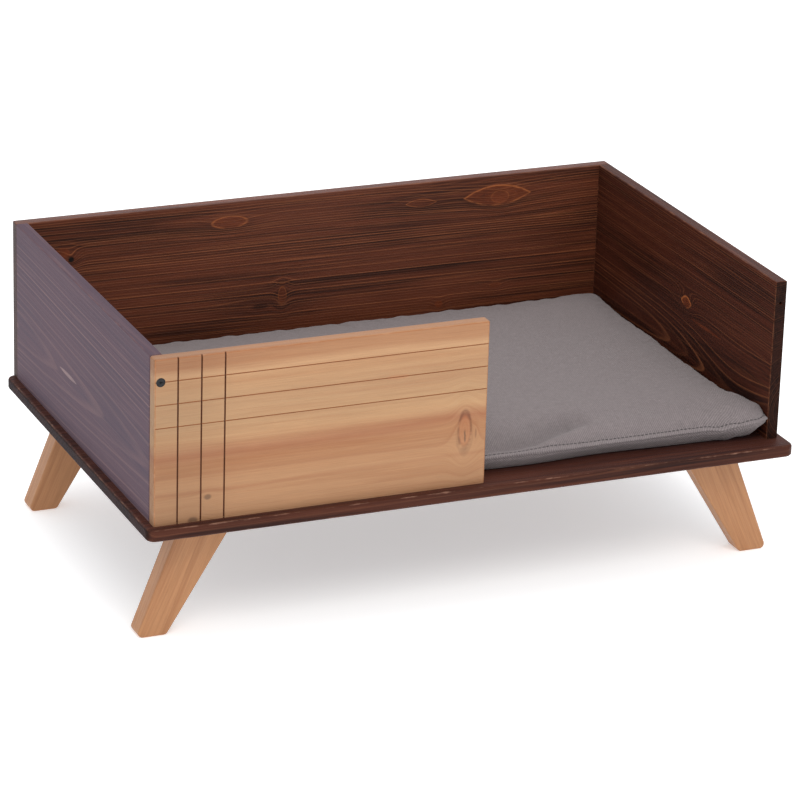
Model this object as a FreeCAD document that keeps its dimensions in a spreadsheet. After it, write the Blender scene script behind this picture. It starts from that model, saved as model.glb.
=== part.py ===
import FreeCAD, Part
import math
import os
import re
import Sketcher

# A dog bed: a wooden tray with a back, two sides and a half-length front board, standing on four
# flat splayed legs, with a zipped cushion that lifts out.
#
# Frame: +X runs along the length to the right, +Y to the back and +Z up. The origin is on the
# floor, below the middle of the base board. Every size is in millimetres.

# ---------------------------------------------------------------------------------------------
# Driving sizes. Each one is a cell of the document's spreadsheet, under the same name.
# ---------------------------------------------------------------------------------------------
SIZES = {
    # the walled box: outside length, depth from the side boards' front ends to the back, height
    "box_length": 800,
    "box_depth": 500,
    "wall_height": 200,
    "board_thickness": 15,
    "board_edge_round": 1.5,
    # the front board, which closes the left half of the front
    "front_board_length": 407,
    "front_board_thickness": 16,
    "front_board_round": 2.5,
    "upright_groove_pitch": 28,
    "upright_groove_width": 2,
    "upright_groove_depth": 2,
    "level_groove_pitch": 27.5,
    "level_groove_width": 1.2,
    "level_groove_depth": 0.8,
    # the base board, which stands out past the walls at both ends and at the front
    "base_thickness": 15,
    "base_side_overhang": 10,
    "base_front_overhang": 11,
    "base_corner_radius": 11,
    "base_edge_round": 3.5,
    # the legs: insets are from the base board's edge to the leg's outer edge
    "leg_height": 138,
    "leg_thickness": 28,
    "leg_top_width": 69,
    "leg_foot_width": 37,
    "leg_top_inset": 57,
    "leg_foot_inset": 3,
    "leg_front_inset": 48,
    "leg_rear_inset": 51,
    "leg_foot_round": 6,
    "leg_edge_round": 2.5,
    "leg_fixing_inset": 23,
    "leg_screw_spacing": 24,
    # screws and dowels; a countersunk head is a right-angled cone
    "wall_screw_radius": 2,
    "wall_screw_head_radius": 3.75,
    "wall_screw_length": 40,
    "wall_screw_end_gap": 60,
    "back_screw_spacing": 65,
    "leg_screw_radius": 2.25,
    "leg_screw_head_radius": 4.5,
    "leg_screw_length": 45,
    "front_screw_radius": 2,
    "front_screw_head_radius": 5.4,
    "front_screw_length": 45,
    "screw_tip_length": 5,
    "screw_play": 0.05,
    "screw_end_gap": 1,
    "recess_arm_length": 4.2,
    "recess_arm_width": 1,
    "recess_depth": 1.4,
    "dowel_radius": 4,
    "dowel_chamfer": 0.8,
    "dowel_play": 0.05,
    "dowel_end_gap": 0.5,
    "dowel_roof": 4.5,
    "dowel_bite": 20,
    # the cushion and its gaps to the boards
    "cushion_side_gap": 4,
    "cushion_front_gap": 12,
    "cushion_back_gap": 20,
    "cushion_rest_gap": 0.3,
    "cushion_thickness": 38,
    "cushion_seam_height": 22,
    "cushion_corner_radius": 30,
    "cushion_edge_round": 8,
    "cover_thickness": 1.5,
    # the zip along the cushion's back edge; its side gap is from its end to the cushion's end
    "zip_side_gap": 81,
    "zip_end_length": 10,
    "tape_width": 6.5,
    "tape_thickness": 0.8,
    "tape_gap": 2,
    "chain_width": 5,
    "chain_thickness": 2,
    "stop_length": 3,
    "stop_width": 6.5,
    "stop_thickness": 2.6,
    "slider_length": 11,
    "slider_width": 9,
    "slider_wall": 1.2,
    "slider_play": 0.3,
    "slider_end_gap": 1,
    "bridge_length": 8.8,
    "bridge_width": 2,
    "bridge_bar": 1.1,
    "pull_pin_radius": 0.7,
    "pull_thickness": 1.2,
    "pull_length": 18,
    "pull_neck_width": 5.2,
    "pull_tip_width": 7,
    "pull_slot_length": 6.2,
    "pull_tip_round": 2.5,
}
GROOVES = 3
COUNTERSINK_ANGLE = 90
TOLERANCE = 1e-4

# Sizes and places that follow from the driving ones.
BASE_DEPTH = "(box_depth + front_board_thickness + base_front_overhang)"
BASE_HALF_LENGTH = "(box_length / 2 + base_side_overhang)"
BASE_TOP = "(leg_height + base_thickness)"
BOX_FRONT = f"({BASE_DEPTH} / 2 - box_depth)"
SIDE_LENGTH = "(box_depth - board_thickness)"
SIDE_CENTRE_X = "(box_length / 2 - board_thickness / 2)"
SIDE_CENTRE_Y = f"({BOX_FRONT} + {SIDE_LENGTH} / 2)"
BACK_CENTRE_Y = f"({BASE_DEPTH} / 2 - board_thickness / 2)"
BACK_FACE = f"({BASE_DEPTH} / 2 - board_thickness)"
FRONT_CENTRE_X = "(front_board_length / 2 - box_length / 2)"
FRONT_CENTRE_Y = f"({BOX_FRONT} - front_board_thickness / 2)"
FRONT_SCREW_HEIGHT = "(wall_height - level_groove_pitch)"
LEG_FIXING_X = f"({BASE_HALF_LENGTH} - leg_top_inset - leg_fixing_inset)"
LEG_ROWS = {
    "front": f"({BASE_DEPTH} / -2 + leg_front_inset + leg_thickness / 2)",
    "rear": f"({BASE_DEPTH} / 2 - leg_rear_inset - leg_thickness / 2)",
}
DOWEL_SOCKET = "(base_thickness - dowel_roof)"
CUSHION_LENGTH = "(box_length - 2 * board_thickness - 2 * cushion_side_gap)"
CUSHION_DEPTH = f"({SIDE_LENGTH} - cushion_front_gap - cushion_back_gap)"
CUSHION_CENTRE_Y = f"({BOX_FRONT} + cushion_front_gap + {CUSHION_DEPTH} / 2)"
CUSHION_BACK = f"({BACK_FACE} - cushion_back_gap)"
CUSHION_BOTTOM = f"({BASE_TOP} + cushion_rest_gap)"
SEAM_Z = f"({CUSHION_BOTTOM} + cushion_seam_height)"
CUSHION_ROUND_LIMIT = "(tape_gap / 2 + tape_width)"
CUSHION_ROUND = (f"min(cushion_edge_round; cushion_seam_height - {CUSHION_ROUND_LIMIT};"
                 f" cushion_thickness - cushion_seam_height - {CUSHION_ROUND_LIMIT})")
ZIP_LENGTH = f"({CUSHION_LENGTH} - 2 * zip_side_gap)"
TAPE_FACE = f"({CUSHION_BACK} + tape_thickness)"
SLIDER_X = f"({ZIP_LENGTH} / 2 - slider_end_gap - slider_length / 2)"
SLIDER_TOP = "(slider_play + chain_thickness + slider_wall)"
PIN_HEIGHT = f"({SLIDER_TOP} + slider_play + pull_pin_radius)"
BRIDGE_INNER = f"({PIN_HEIGHT} + pull_pin_radius + slider_play)"

document = FreeCAD.newDocument("DogBed")
sheet = document.addObject("Spreadsheet::Sheet", "Sizes")
for row, (alias, number) in enumerate(SIZES.items(), 1):
    sheet.set(f"A{row}", alias)
    sheet.set(f"B{row}", str(number))
    sheet.setAlias(f"B{row}", alias)
document.recompute()

ALIAS_PATTERN = re.compile(r"\b(" + "|".join(SIZES) + r")\b")
nodes = {}


# ---------------------------------------------------------------------------------------------
# Small helpers around the document, its sketches and its features
# ---------------------------------------------------------------------------------------------
def bind(target, prop, formula):
    """Ties a property to a formula of the sheet's names."""
    target.setExpression(prop, ALIAS_PATTERN.sub(r"Sizes.\1", formula))


def place(target, x="0", y="0", z="0"):
    bind(target, "Placement.Base.x", x)
    bind(target, "Placement.Base.y", y)
    bind(target, "Placement.Base.z", z)


def keep(target, name):
    """Gives a finished sub-part its name and puts it on the list of nodes."""
    target.Label = name
    nodes[name] = target


def new_body(name):
    return document.addObject("PartDesign::Body", "Body_" + name)


def new_sketch(body, name, plane, offset=None):
    """A sketch on one of the body's origin planes, moved along the plane's normal by offset."""
    sketch = body.newObject("Sketcher::SketchObject", name)
    support = next(item for item in body.Origin.OriginFeatures if item.Role == plane)
    sketch.AttachmentSupport = (support, [""])
    sketch.MapMode = "FlatFace"
    if offset:
        bind(sketch, "AttachmentOffset.Base.z", offset)
    return sketch


def pin_point(sketch, geometry, vertex, x, y):
    """Sets both coordinates of a sketch point, as formulas."""
    for kind, formula in (("DistanceX", x), ("DistanceY", y)):
        index = sketch.addConstraint(Sketcher.Constraint(kind, -1, 1, geometry, vertex, 1.0))
        bind(sketch, f"Constraints[{index}]", formula)


def draw_polygon(sketch, points):
    """A closed outline of straight lines through points given as pairs of formulas."""
    first = sketch.GeometryCount
    count = len(points)
    corners = []
    for step in range(count):
        angle = 2 * math.pi * step / count
        corners.append(FreeCAD.Vector(math.cos(angle), math.sin(angle), 0))
    for step in range(count):
        sketch.addGeometry(Part.LineSegment(corners[step], corners[(step + 1) % count]))
    for step in range(count):
        following = first + (step + 1) % count
        sketch.addConstraint(Sketcher.Constraint("Coincident", first + step, 2, following, 1))
    for step, (x, y) in enumerate(points):
        pin_point(sketch, first + step, 1, x, y)


def draw_rectangle(sketch, left, right, low, high):
    draw_polygon(sketch, [(left, low), (right, low), (right, high), (left, high)])


def draw_centred_rectangle(sketch, width, height):
    draw_rectangle(sketch, f"-({width}) / 2", f"({width}) / 2", f"-({height}) / 2", f"({height}) / 2")


def draw_circles(sketch, points, radius):
    for x, y in points:
        index = sketch.addGeometry(Part.Circle(FreeCAD.Vector(1, 1, 0), FreeCAD.Vector(0, 0, 1), 1))
        pin_point(sketch, index, 3, x, y)
        size = sketch.addConstraint(Sketcher.Constraint("Radius", index, 1.0))
        bind(sketch, f"Constraints[{size}]", radius)


def pad(body, sketch, length, centred=False, backward=False):
    feature = body.newObject("PartDesign::Pad", sketch.Name + "_pad")
    feature.Profile = sketch
    feature.Midplane = centred
    feature.Reversed = backward
    bind(feature, "Length", length)
    document.recompute()
    return feature


def pocket(body, sketch, length, centred=False, backward=False):
    """Cuts a sketch out of a body, and stops the build if nothing was cut."""
    before = body.Shape.Volume
    feature = body.newObject("PartDesign::Pocket", sketch.Name + "_pocket")
    feature.Profile = sketch
    feature.Midplane = centred
    feature.Reversed = backward
    bind(feature, "Length", length)
    document.recompute()
    if not body.Shape.Volume < before:
        raise RuntimeError(f"{sketch.Name} cuts nothing out of {body.Name}")
    return feature


def drill(body, name, plane, points, radius, depth, offset=None, backward=False, head=None):
    """Drills round holes, with a countersink for a screw head where head gives its radius.

    A hole runs against the plane's normal, or along it if backward is true. A depth of None
    goes right through.
    """
    sketch = new_sketch(body, name, plane, offset)
    draw_circles(sketch, points, radius)
    document.recompute()
    before = body.Shape.Volume
    hole = body.newObject("PartDesign::Hole", name + "_hole")
    hole.Profile = sketch
    hole.ThreadType = "None"
    hole.DrillPoint = "Flat"
    hole.Reversed = backward
    bind(hole, "Diameter", f"2 * ({radius})")
    if depth:
        hole.DepthType = "Dimension"
        bind(hole, "Depth", depth)
    else:
        hole.DepthType = "ThroughAll"
    if head:
        hole.HoleCutType = "Countersink"
        hole.HoleCutCustomValues = True
        hole.HoleCutCountersinkAngle = COUNTERSINK_ANGLE
        bind(hole, "HoleCutDiameter", f"2 * ({head} + screw_play)")
    document.recompute()
    if not body.Shape.Volume < before:
        raise RuntimeError(f"{name} drills nothing out of {body.Name}")


def edges_where(feature, test):
    return [f"Edge{number}" for number, edge in enumerate(feature.Shape.Edges, 1) if test(edge)]


def round_edges(body, feature, test, radius, kind="Fillet"):
    """Fillets or chamfers every edge of a feature that passes the test."""
    dressing = body.newObject("PartDesign::" + kind, feature.Name + "_" + kind.lower())
    dressing.Base = (feature, edges_where(feature, test))
    bind(dressing, "Radius" if kind == "Fillet" else "Size", radius)
    document.recompute()
    return dressing


def close(first, second):
    return abs(first - second) < TOLERANCE


def is_upright(edge):
    box = edge.BoundBox
    return close(box.XLength, 0) and close(box.YLength, 0)


def lies_at_z(edge, height):
    box = edge.BoundBox
    return close(box.ZMin, height) and close(box.ZMax, height)


def lies_at_y(edge, y):
    box = edge.BoundBox
    return close(box.YMin, y) and close(box.YMax, y)


def lies_at_x(edge, x):
    box = edge.BoundBox
    return close(box.XMin, x) and close(box.XMax, x)


def compound_of(name, parts):
    group = document.addObject("Part::Compound", "Group_" + name)
    group.Links = parts
    keep(group, name)


def copies_of(master, name, spots, turn):
    """Sets a copy of a master piece at each spot, turned about X, and keeps them as one node."""
    copies = []
    for number, spot in enumerate(spots, 1):
        copy = document.addObject("App::Link", f"{name}_{number}")
        copy.LinkedObject = master
        copy.Placement = FreeCAD.Placement(FreeCAD.Vector(), FreeCAD.Rotation(FreeCAD.Vector(1, 0, 0), turn))
        place(copy, *spot)
        copies.append(copy)
    compound_of(name, copies)


# ---------------------------------------------------------------------------------------------
# Where the fixings sit along a wall, counted from the wall's middle
# ---------------------------------------------------------------------------------------------
def screw_offsets(wall_length, count):
    """Evenly spaced screws, the outer ones wall_screw_end_gap from the wall's ends."""
    shares = [2 * number / (count - 1) - 1 for number in range(count)]
    return [f"({wall_length} / 2 - wall_screw_end_gap) * ({share})" for share in shares]


def dowel_offsets(wall_length):
    """Two dowels, halfway between the wall's middle and its outer screws."""
    return [f"({wall_length} / 2 - wall_screw_end_gap) * ({share})" for share in (-0.5, 0.5)]


def along(axis, centre_x, centre_y, offsets):
    """Plan points on a wall's centre line, which runs along axis."""
    if axis == "X":
        return [(f"{centre_x} + {offset}", centre_y) for offset in offsets]
    return [(centre_x, f"{centre_y} + {offset}") for offset in offsets]


# name: centre line's axis, centre in plan, length, number of screws that come up from below
WALLS = {
    "back_board": ("X", "0", BACK_CENTRE_Y, "box_length", 4),
    "left_side_board": ("Y", f"-{SIDE_CENTRE_X}", SIDE_CENTRE_Y, SIDE_LENGTH, 3),
    "right_side_board": ("Y", SIDE_CENTRE_X, SIDE_CENTRE_Y, SIDE_LENGTH, 3),
    "front_board": ("X", FRONT_CENTRE_X, FRONT_CENTRE_Y, "front_board_length", 2),
}
LEG_SIDES = {"left": -1, "right": 1}
wall_screw_points = []
wall_dowel_points = []
for axis, centre_x, centre_y, length, count in WALLS.values():
    wall_screw_points += along(axis, centre_x, centre_y, screw_offsets(length, count))
    wall_dowel_points += along(axis, centre_x, centre_y, dowel_offsets(length))

leg_screw_points = []
leg_dowel_points = []
for row_centre in LEG_ROWS.values():
    for side in LEG_SIDES.values():
        leg_dowel_points.append((f"{side} * {LEG_FIXING_X}", row_centre))
        for step in (-0.5, 0.5):
            x = f"{side} * ({LEG_FIXING_X} + {step} * leg_screw_spacing)"
            leg_screw_points.append((x, row_centre))

WALL_PILOT = "wall_screw_length - base_thickness + screw_end_gap"
BACK_PILOT = "wall_screw_length - board_thickness + screw_end_gap"
LEG_PILOT = "leg_screw_length - base_thickness + screw_end_gap"
FRONT_PILOT = "front_screw_length - front_board_thickness + screw_end_gap"
BACK_SCREW_HEIGHTS = [f"wall_height / 2 + {step} * back_screw_spacing" for step in (-1, 0, 1)]


# ---------------------------------------------------------------------------------------------
# The boards
# ---------------------------------------------------------------------------------------------
def make_base_board():
    """The rounded tray bottom; its own origin is the middle of its underside."""
    body = new_body("base_board")
    outline = new_sketch(body, "base_outline", "XY_Plane")
    draw_centred_rectangle(outline, f"2 * {BASE_HALF_LENGTH}", BASE_DEPTH)
    board = pad(body, outline, "base_thickness")
    cornered = round_edges(body, board, is_upright, "base_corner_radius")
    faces = (0, SIZES["base_thickness"])
    round_edges(body, cornered, lambda e: any(lies_at_z(e, z) for z in faces), "base_edge_round")
    drill(body, "base_wall_screws", "XY_Plane", wall_screw_points, "wall_screw_radius + screw_play",
          None, backward=True, head="wall_screw_head_radius")
    drill(body, "base_leg_screws", "XY_Plane", leg_screw_points, "leg_screw_radius + screw_play",
          None, offset="base_thickness", head="leg_screw_head_radius")
    drill(body, "base_wall_dowels", "XY_Plane", wall_dowel_points, "dowel_radius + dowel_play",
          DOWEL_SOCKET, offset="base_thickness")
    drill(body, "base_leg_dowels", "XY_Plane", leg_dowel_points, "dowel_radius + dowel_play",
          DOWEL_SOCKET, backward=True)
    place(body, z="leg_height")
    keep(body, "base_board")


def drill_wall_bottom(body, name, axis, length, count):
    """The pilot holes and dowel sockets that every wall has in its bottom edge."""
    drill(body, name + "_pilots", "XY_Plane", along(axis, "0", "0", screw_offsets(length, count)),
          "wall_screw_radius + screw_play", WALL_PILOT, backward=True)
    drill(body, name + "_sockets", "XY_Plane", along(axis, "0", "0", dowel_offsets(length)),
          "dowel_radius + dowel_play", "dowel_bite", backward=True)


def make_back_board():
    """The full-length wall; its own origin is the middle of its bottom edge, as on every wall."""
    name = "back_board"
    axis, centre_x, centre_y, length, count = WALLS[name]
    body = new_body(name)
    outline = new_sketch(body, "back_outline", "XY_Plane")
    draw_centred_rectangle(outline, length, "board_thickness")
    board = pad(body, outline, "wall_height")
    top = SIZES["wall_height"]
    round_edges(body, board, lambda e: is_upright(e) or lies_at_z(e, top), "board_edge_round")
    drill_wall_bottom(body, name, axis, length, count)
    points = [(f"{side} * {SIDE_CENTRE_X}", z) for side in (-1, 1) for z in BACK_SCREW_HEIGHTS]
    drill(body, "back_side_screws", "XZ_Plane", points, "wall_screw_radius + screw_play", None,
          offset="-board_thickness / 2", backward=True, head="wall_screw_head_radius")
    place(body, centre_x, centre_y, BASE_TOP)
    keep(body, name)


def make_side_board(name):
    """A side wall, with a hole in its front end for the front board's screw.

    Both side boards have that hole, so the front board can close either half of the front.
    """
    axis, centre_x, centre_y, length, count = WALLS[name]
    body = new_body(name)
    outline = new_sketch(body, name + "_outline", "XY_Plane")
    draw_centred_rectangle(outline, "board_thickness", length)
    board = pad(body, outline, "wall_height")
    top = SIZES["wall_height"]
    front = (SIZES["board_thickness"] - SIZES["box_depth"]) / 2
    back = -front

    def is_free_edge(edge):
        on_top = lies_at_z(edge, top) and not lies_at_y(edge, back)
        return on_top or (is_upright(edge) and lies_at_y(edge, front))

    round_edges(body, board, is_free_edge, "board_edge_round")
    drill_wall_bottom(body, name, axis, length, count)
    drill(body, name + "_back_pilots", "XZ_Plane", [("0", z) for z in BACK_SCREW_HEIGHTS],
          "wall_screw_radius + screw_play", BACK_PILOT, offset=f"-{length} / 2", backward=True)
    drill(body, name + "_front_pilot", "XZ_Plane", [("0", FRONT_SCREW_HEIGHT)],
          "front_screw_radius + screw_play", FRONT_PILOT, offset=f"{length} / 2")
    place(body, centre_x, centre_y, BASE_TOP)
    keep(body, name)


def make_front_board():
    """The pale half-length board, with a check of fine grooves across its left end."""
    name = "front_board"
    axis, centre_x, centre_y, length, count = WALLS[name]
    body = new_body(name)
    outline = new_sketch(body, "front_outline", "XY_Plane")
    draw_centred_rectangle(outline, length, "front_board_thickness")
    board = pad(body, outline, "wall_height")
    round_edges(body, board, lambda e: not lies_at_z(e, 0), "front_board_round")

    left = "-front_board_length / 2"
    face = "-front_board_thickness / 2"
    uprights = new_sketch(body, "upright_grooves", "XY_Plane")
    for number in range(1, GROOVES + 1):
        middle = f"{left} + {number} * upright_groove_pitch"
        draw_rectangle(uprights, f"{middle} - upright_groove_width / 2",
                       f"{middle} + upright_groove_width / 2", face, f"{face} + upright_groove_depth")
    pocket(body, uprights, "wall_height", backward=True)
    levels = new_sketch(body, "level_grooves", "YZ_Plane")
    for number in range(1, GROOVES + 1):
        middle = f"wall_height - {number} * level_groove_pitch"
        draw_rectangle(levels, face, f"{face} + level_groove_depth",
                       f"{middle} - level_groove_width / 2", f"{middle} + level_groove_width / 2")
    pocket(body, levels, length, centred=True)

    drill_wall_bottom(body, name, axis, length, count)
    drill(body, "front_board_screw_hole", "XZ_Plane",
          [(f"{left} + board_thickness / 2", FRONT_SCREW_HEIGHT)], "front_screw_radius + screw_play",
          None, offset="front_board_thickness / 2", head="front_screw_head_radius")
    place(body, centre_x, centre_y, BASE_TOP)
    keep(body, name)


# ---------------------------------------------------------------------------------------------
# The legs
# ---------------------------------------------------------------------------------------------
def make_leg(row, side):
    """A flat leg that leans outwards and narrows to its foot.

    Its own frame has x = 0 at the top's inner corner and y = 0 in the middle of its thickness,
    and is drawn for the right. A left leg is the same leg, turned half round.
    """
    name = f"leg_{row}_{side}"
    lean = "(leg_top_width + leg_top_inset - leg_foot_inset)"
    body = new_body(name)
    outline = new_sketch(body, name + "_outline", "XZ_Plane")
    draw_polygon(outline, [
        (f"{lean} - leg_foot_width", "0"),
        (lean, "0"),
        ("leg_top_width", "leg_height"),
        ("0", "leg_height"),
    ])
    board = pad(body, outline, "leg_thickness", centred=True)
    foot = round_edges(body, board, lambda e: lies_at_z(e, 0) and close(e.BoundBox.XLength, 0),
                       "leg_foot_round")
    half = SIZES["leg_thickness"] / 2
    top = SIZES["leg_height"]

    def is_face_edge(edge):
        on_face = lies_at_y(edge, half) or lies_at_y(edge, -half)
        return on_face and not lies_at_z(edge, top)

    round_edges(body, foot, is_face_edge, "leg_edge_round")
    middle = "leg_top_width - leg_fixing_inset"
    screws = [(f"{middle} + {step} * leg_screw_spacing", "0") for step in (-0.5, 0.5)]
    drill(body, name + "_pilots", "XY_Plane", screws, "leg_screw_radius + screw_play", LEG_PILOT,
          offset="leg_height")
    drill(body, name + "_socket", "XY_Plane", [(middle, "0")], "dowel_radius + dowel_play",
          "dowel_bite", offset="leg_height")
    if side == "left":
        body.Placement = FreeCAD.Placement(FreeCAD.Vector(), FreeCAD.Rotation(180, 0, 0))
    top_inner = f"({BASE_HALF_LENGTH} - leg_top_inset - leg_top_width)"
    place(body, f"{LEG_SIDES[side]} * {top_inner}", LEG_ROWS[row])
    keep(body, name)


# ---------------------------------------------------------------------------------------------
# Screws and dowels
# ---------------------------------------------------------------------------------------------
def make_screw(name):
    """A countersunk screw with a cross recess. Its head's top is at its origin; it points down."""
    radius = f"{name}_radius"
    head = f"{name}_head_radius"
    length = f"{name}_length"
    body = new_body(name)
    profile = new_sketch(body, name + "_profile", "XZ_Plane")
    draw_polygon(profile, [
        ("0", "0"),
        ("0", f"-{length}"),
        (radius, f"screw_tip_length - {length}"),
        (radius, f"{radius} - {head}"),
        (head, "0"),
    ])
    turned = body.newObject("PartDesign::Revolution", name + "_turned")
    turned.Profile = profile
    turned.ReferenceAxis = (profile, ["V_Axis"])
    document.recompute()
    recess = new_sketch(body, name + "_recess", "XY_Plane")
    arm = "recess_arm_length / 2"
    half = "recess_arm_width / 2"
    draw_polygon(recess, [
        (arm, half), (half, half), (half, arm), (f"-{half}", arm), (f"-{half}", half), (f"-{arm}", half),
        (f"-{arm}", f"-{half}"), (f"-{half}", f"-{half}"), (f"-{half}", f"-{arm}"), (half, f"-{arm}"),
        (half, f"-{half}"), (arm, f"-{half}"),
    ])
    pocket(body, recess, "recess_depth")
    return body


def make_dowel():
    """A plain round dowel with chamfered ends. It stands on its origin."""
    body = new_body("dowel")
    outline = new_sketch(body, "dowel_outline", "XY_Plane")
    draw_circles(outline, [("0", "0")], "dowel_radius")
    rod = pad(body, outline, f"{DOWEL_SOCKET} + dowel_bite - 2 * dowel_end_gap")
    ends = (0, rod.Shape.BoundBox.ZMax)
    round_edges(body, rod, lambda e: any(lies_at_z(e, z) for z in ends), "dowel_chamfer", "Chamfer")
    return body


def make_fixings():
    wall_screw = make_screw("wall_screw")
    leg_screw = make_screw("leg_screw")
    front_screw = make_screw("front_screw")
    dowel = make_dowel()
    copies_of(wall_screw, "wall_screws", [(x, y, "leg_height") for x, y in wall_screw_points], 180)
    back_spots = [(f"{side} * {SIDE_CENTRE_X}", f"{BASE_DEPTH} / 2", f"{BASE_TOP} + {z}")
                  for side in (-1, 1) for z in BACK_SCREW_HEIGHTS]
    copies_of(wall_screw, "back_board_screws", back_spots, -90)
    copies_of(leg_screw, "leg_screws", [(x, y, BASE_TOP) for x, y in leg_screw_points], 0)
    front_spot = (f"-{SIDE_CENTRE_X}", f"{BOX_FRONT} - front_board_thickness",
                  f"{BASE_TOP} + {FRONT_SCREW_HEIGHT}")
    copies_of(front_screw, "front_board_screw", [front_spot], 90)
    wall_dowel_foot = "leg_height + dowel_roof + dowel_end_gap"
    copies_of(dowel, "wall_dowels", [(x, y, wall_dowel_foot) for x, y in wall_dowel_points], 0)
    leg_dowel_foot = "leg_height - dowel_bite + dowel_end_gap"
    copies_of(dowel, "leg_dowels", [(x, y, leg_dowel_foot) for x, y in leg_dowel_points], 0)


# ---------------------------------------------------------------------------------------------
# The cushion: a filled insert in a cover of two panels, which meet at a seam part-way up
# ---------------------------------------------------------------------------------------------
def make_pillow(name, inset):
    """A rounded slab, smaller than the cushion by inset on every side."""
    body = new_body(name)
    outline = new_sketch(body, name + "_outline", "XY_Plane", offset=inset)
    draw_centred_rectangle(outline, f"{CUSHION_LENGTH} - 2 * {inset}", f"{CUSHION_DEPTH} - 2 * {inset}")
    slab = pad(body, outline, f"cushion_thickness - 2 * {inset}")
    cornered = round_edges(body, slab, is_upright, f"cushion_corner_radius - {inset}")
    faces = (slab.Shape.BoundBox.ZMin, slab.Shape.BoundBox.ZMax)
    round_edges(body, cornered, lambda e: any(lies_at_z(e, z) for z in faces),
                f"{CUSHION_ROUND} - {inset}")
    place(body, "0", CUSHION_CENTRE_Y, CUSHION_BOTTOM)
    return body


def make_cushion():
    outside = make_pillow("cushion_outside", "0")
    insert = make_pillow("cushion_insert", "cover_thickness")
    keep(insert, "cushion_insert")
    cover = document.addObject("Part::Cut", "cushion_cover")
    cover.Base = outside
    cover.Tool = insert
    halves = {"cushion_bottom_panel": (CUSHION_BOTTOM, "cushion_seam_height"),
              "cushion_top_panel": (SEAM_Z, "cushion_thickness - cushion_seam_height")}
    for name, (low, height) in halves.items():
        region = document.addObject("Part::Box", name + "_region")
        bind(region, "Length", CUSHION_LENGTH)
        bind(region, "Width", CUSHION_DEPTH)
        bind(region, "Height", height)
        place(region, f"-{CUSHION_LENGTH} / 2", f"{CUSHION_CENTRE_Y} - {CUSHION_DEPTH} / 2", low)
        panel = document.addObject("Part::Common", "Common_" + name)
        panel.Base = cover
        panel.Tool = region
        keep(panel, name)


# ---------------------------------------------------------------------------------------------
# The zip, which lies on the cushion's back edge, along its seam
# ---------------------------------------------------------------------------------------------
def zip_block(name, length, width, thickness, left, foot, low):
    """A straight strip: length along X, thickness away from the cushion, width up."""
    block = document.addObject("Part::Box", "Box_" + name)
    bind(block, "Length", length)
    bind(block, "Width", thickness)
    bind(block, "Height", width)
    place(block, left, foot, low)
    return block


def make_zip_strips():
    tape_length = f"({ZIP_LENGTH} + 2 * zip_end_length)"
    tapes = []
    for name, low in (("upper_tape", f"{SEAM_Z} + tape_gap / 2"),
                      ("lower_tape", f"{SEAM_Z} - tape_gap / 2 - tape_width")):
        tapes.append(zip_block(name, tape_length, "tape_width", "tape_thickness",
                               f"-{tape_length} / 2", CUSHION_BACK, low))
    compound_of("zip_tapes", tapes)
    chain = zip_block("chain", ZIP_LENGTH, "chain_width", "chain_thickness", f"-{ZIP_LENGTH} / 2",
                      TAPE_FACE, f"{SEAM_Z} - chain_width / 2")
    keep(chain, "zip_chain")
    stops = []
    for name, left in (("left_stop", f"-{ZIP_LENGTH} / 2 - stop_length"),
                       ("right_stop", f"{ZIP_LENGTH} / 2")):
        stops.append(zip_block(name, "stop_length", "stop_width", "stop_thickness", left, TAPE_FACE,
                               f"{SEAM_Z} - stop_width / 2"))
    compound_of("zip_stops", stops)


def make_zip_slider():
    """A channel that straddles the chain, with an arched bridge for the pull on its back.

    Its own origin is on the tapes' face, at the chain's centre line; y runs away from the cushion.
    """
    body = new_body("zip_slider")
    section = new_sketch(body, "slider_section", "YZ_Plane")
    outer = "slider_width / 2"
    inner = "(chain_width / 2 + slider_play)"
    roof = "(slider_play + chain_thickness)"
    draw_polygon(section, [
        ("slider_play", f"-{outer}"), (SLIDER_TOP, f"-{outer}"), (SLIDER_TOP, outer), ("slider_play", outer),
        ("slider_play", inner), (roof, inner), (roof, f"-{inner}"), ("slider_play", f"-{inner}"),
    ])
    channel = pad(body, section, "slider_length", centred=True)
    top = channel.Shape.BoundBox.YMax
    end = channel.Shape.BoundBox.XMax
    round_edges(body, channel, lambda e: lies_at_y(e, top) and (lies_at_x(e, end) or lies_at_x(e, -end)),
                "slider_wall / 2")
    bridge = new_sketch(body, "slider_bridge", "XY_Plane")
    foot = f"{SLIDER_TOP} - slider_wall / 4"
    reach = "bridge_length / 2"
    draw_polygon(bridge, [
        (f"-{reach}", foot), (f"-{reach}", f"{BRIDGE_INNER}"),
        (f"bridge_bar - {reach}", f"{BRIDGE_INNER} + bridge_bar"),
        (f"{reach} - bridge_bar", f"{BRIDGE_INNER} + bridge_bar"),
        (reach, f"{BRIDGE_INNER}"), (reach, foot),
        (f"{reach} - bridge_bar", foot), (f"{reach} - bridge_bar", BRIDGE_INNER),
        (f"bridge_bar - {reach}", BRIDGE_INNER), (f"bridge_bar - {reach}", foot),
    ])
    pad(body, bridge, "bridge_width", centred=True)
    place(body, SLIDER_X, TAPE_FACE, SEAM_Z)
    keep(body, "zip_slider")


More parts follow.
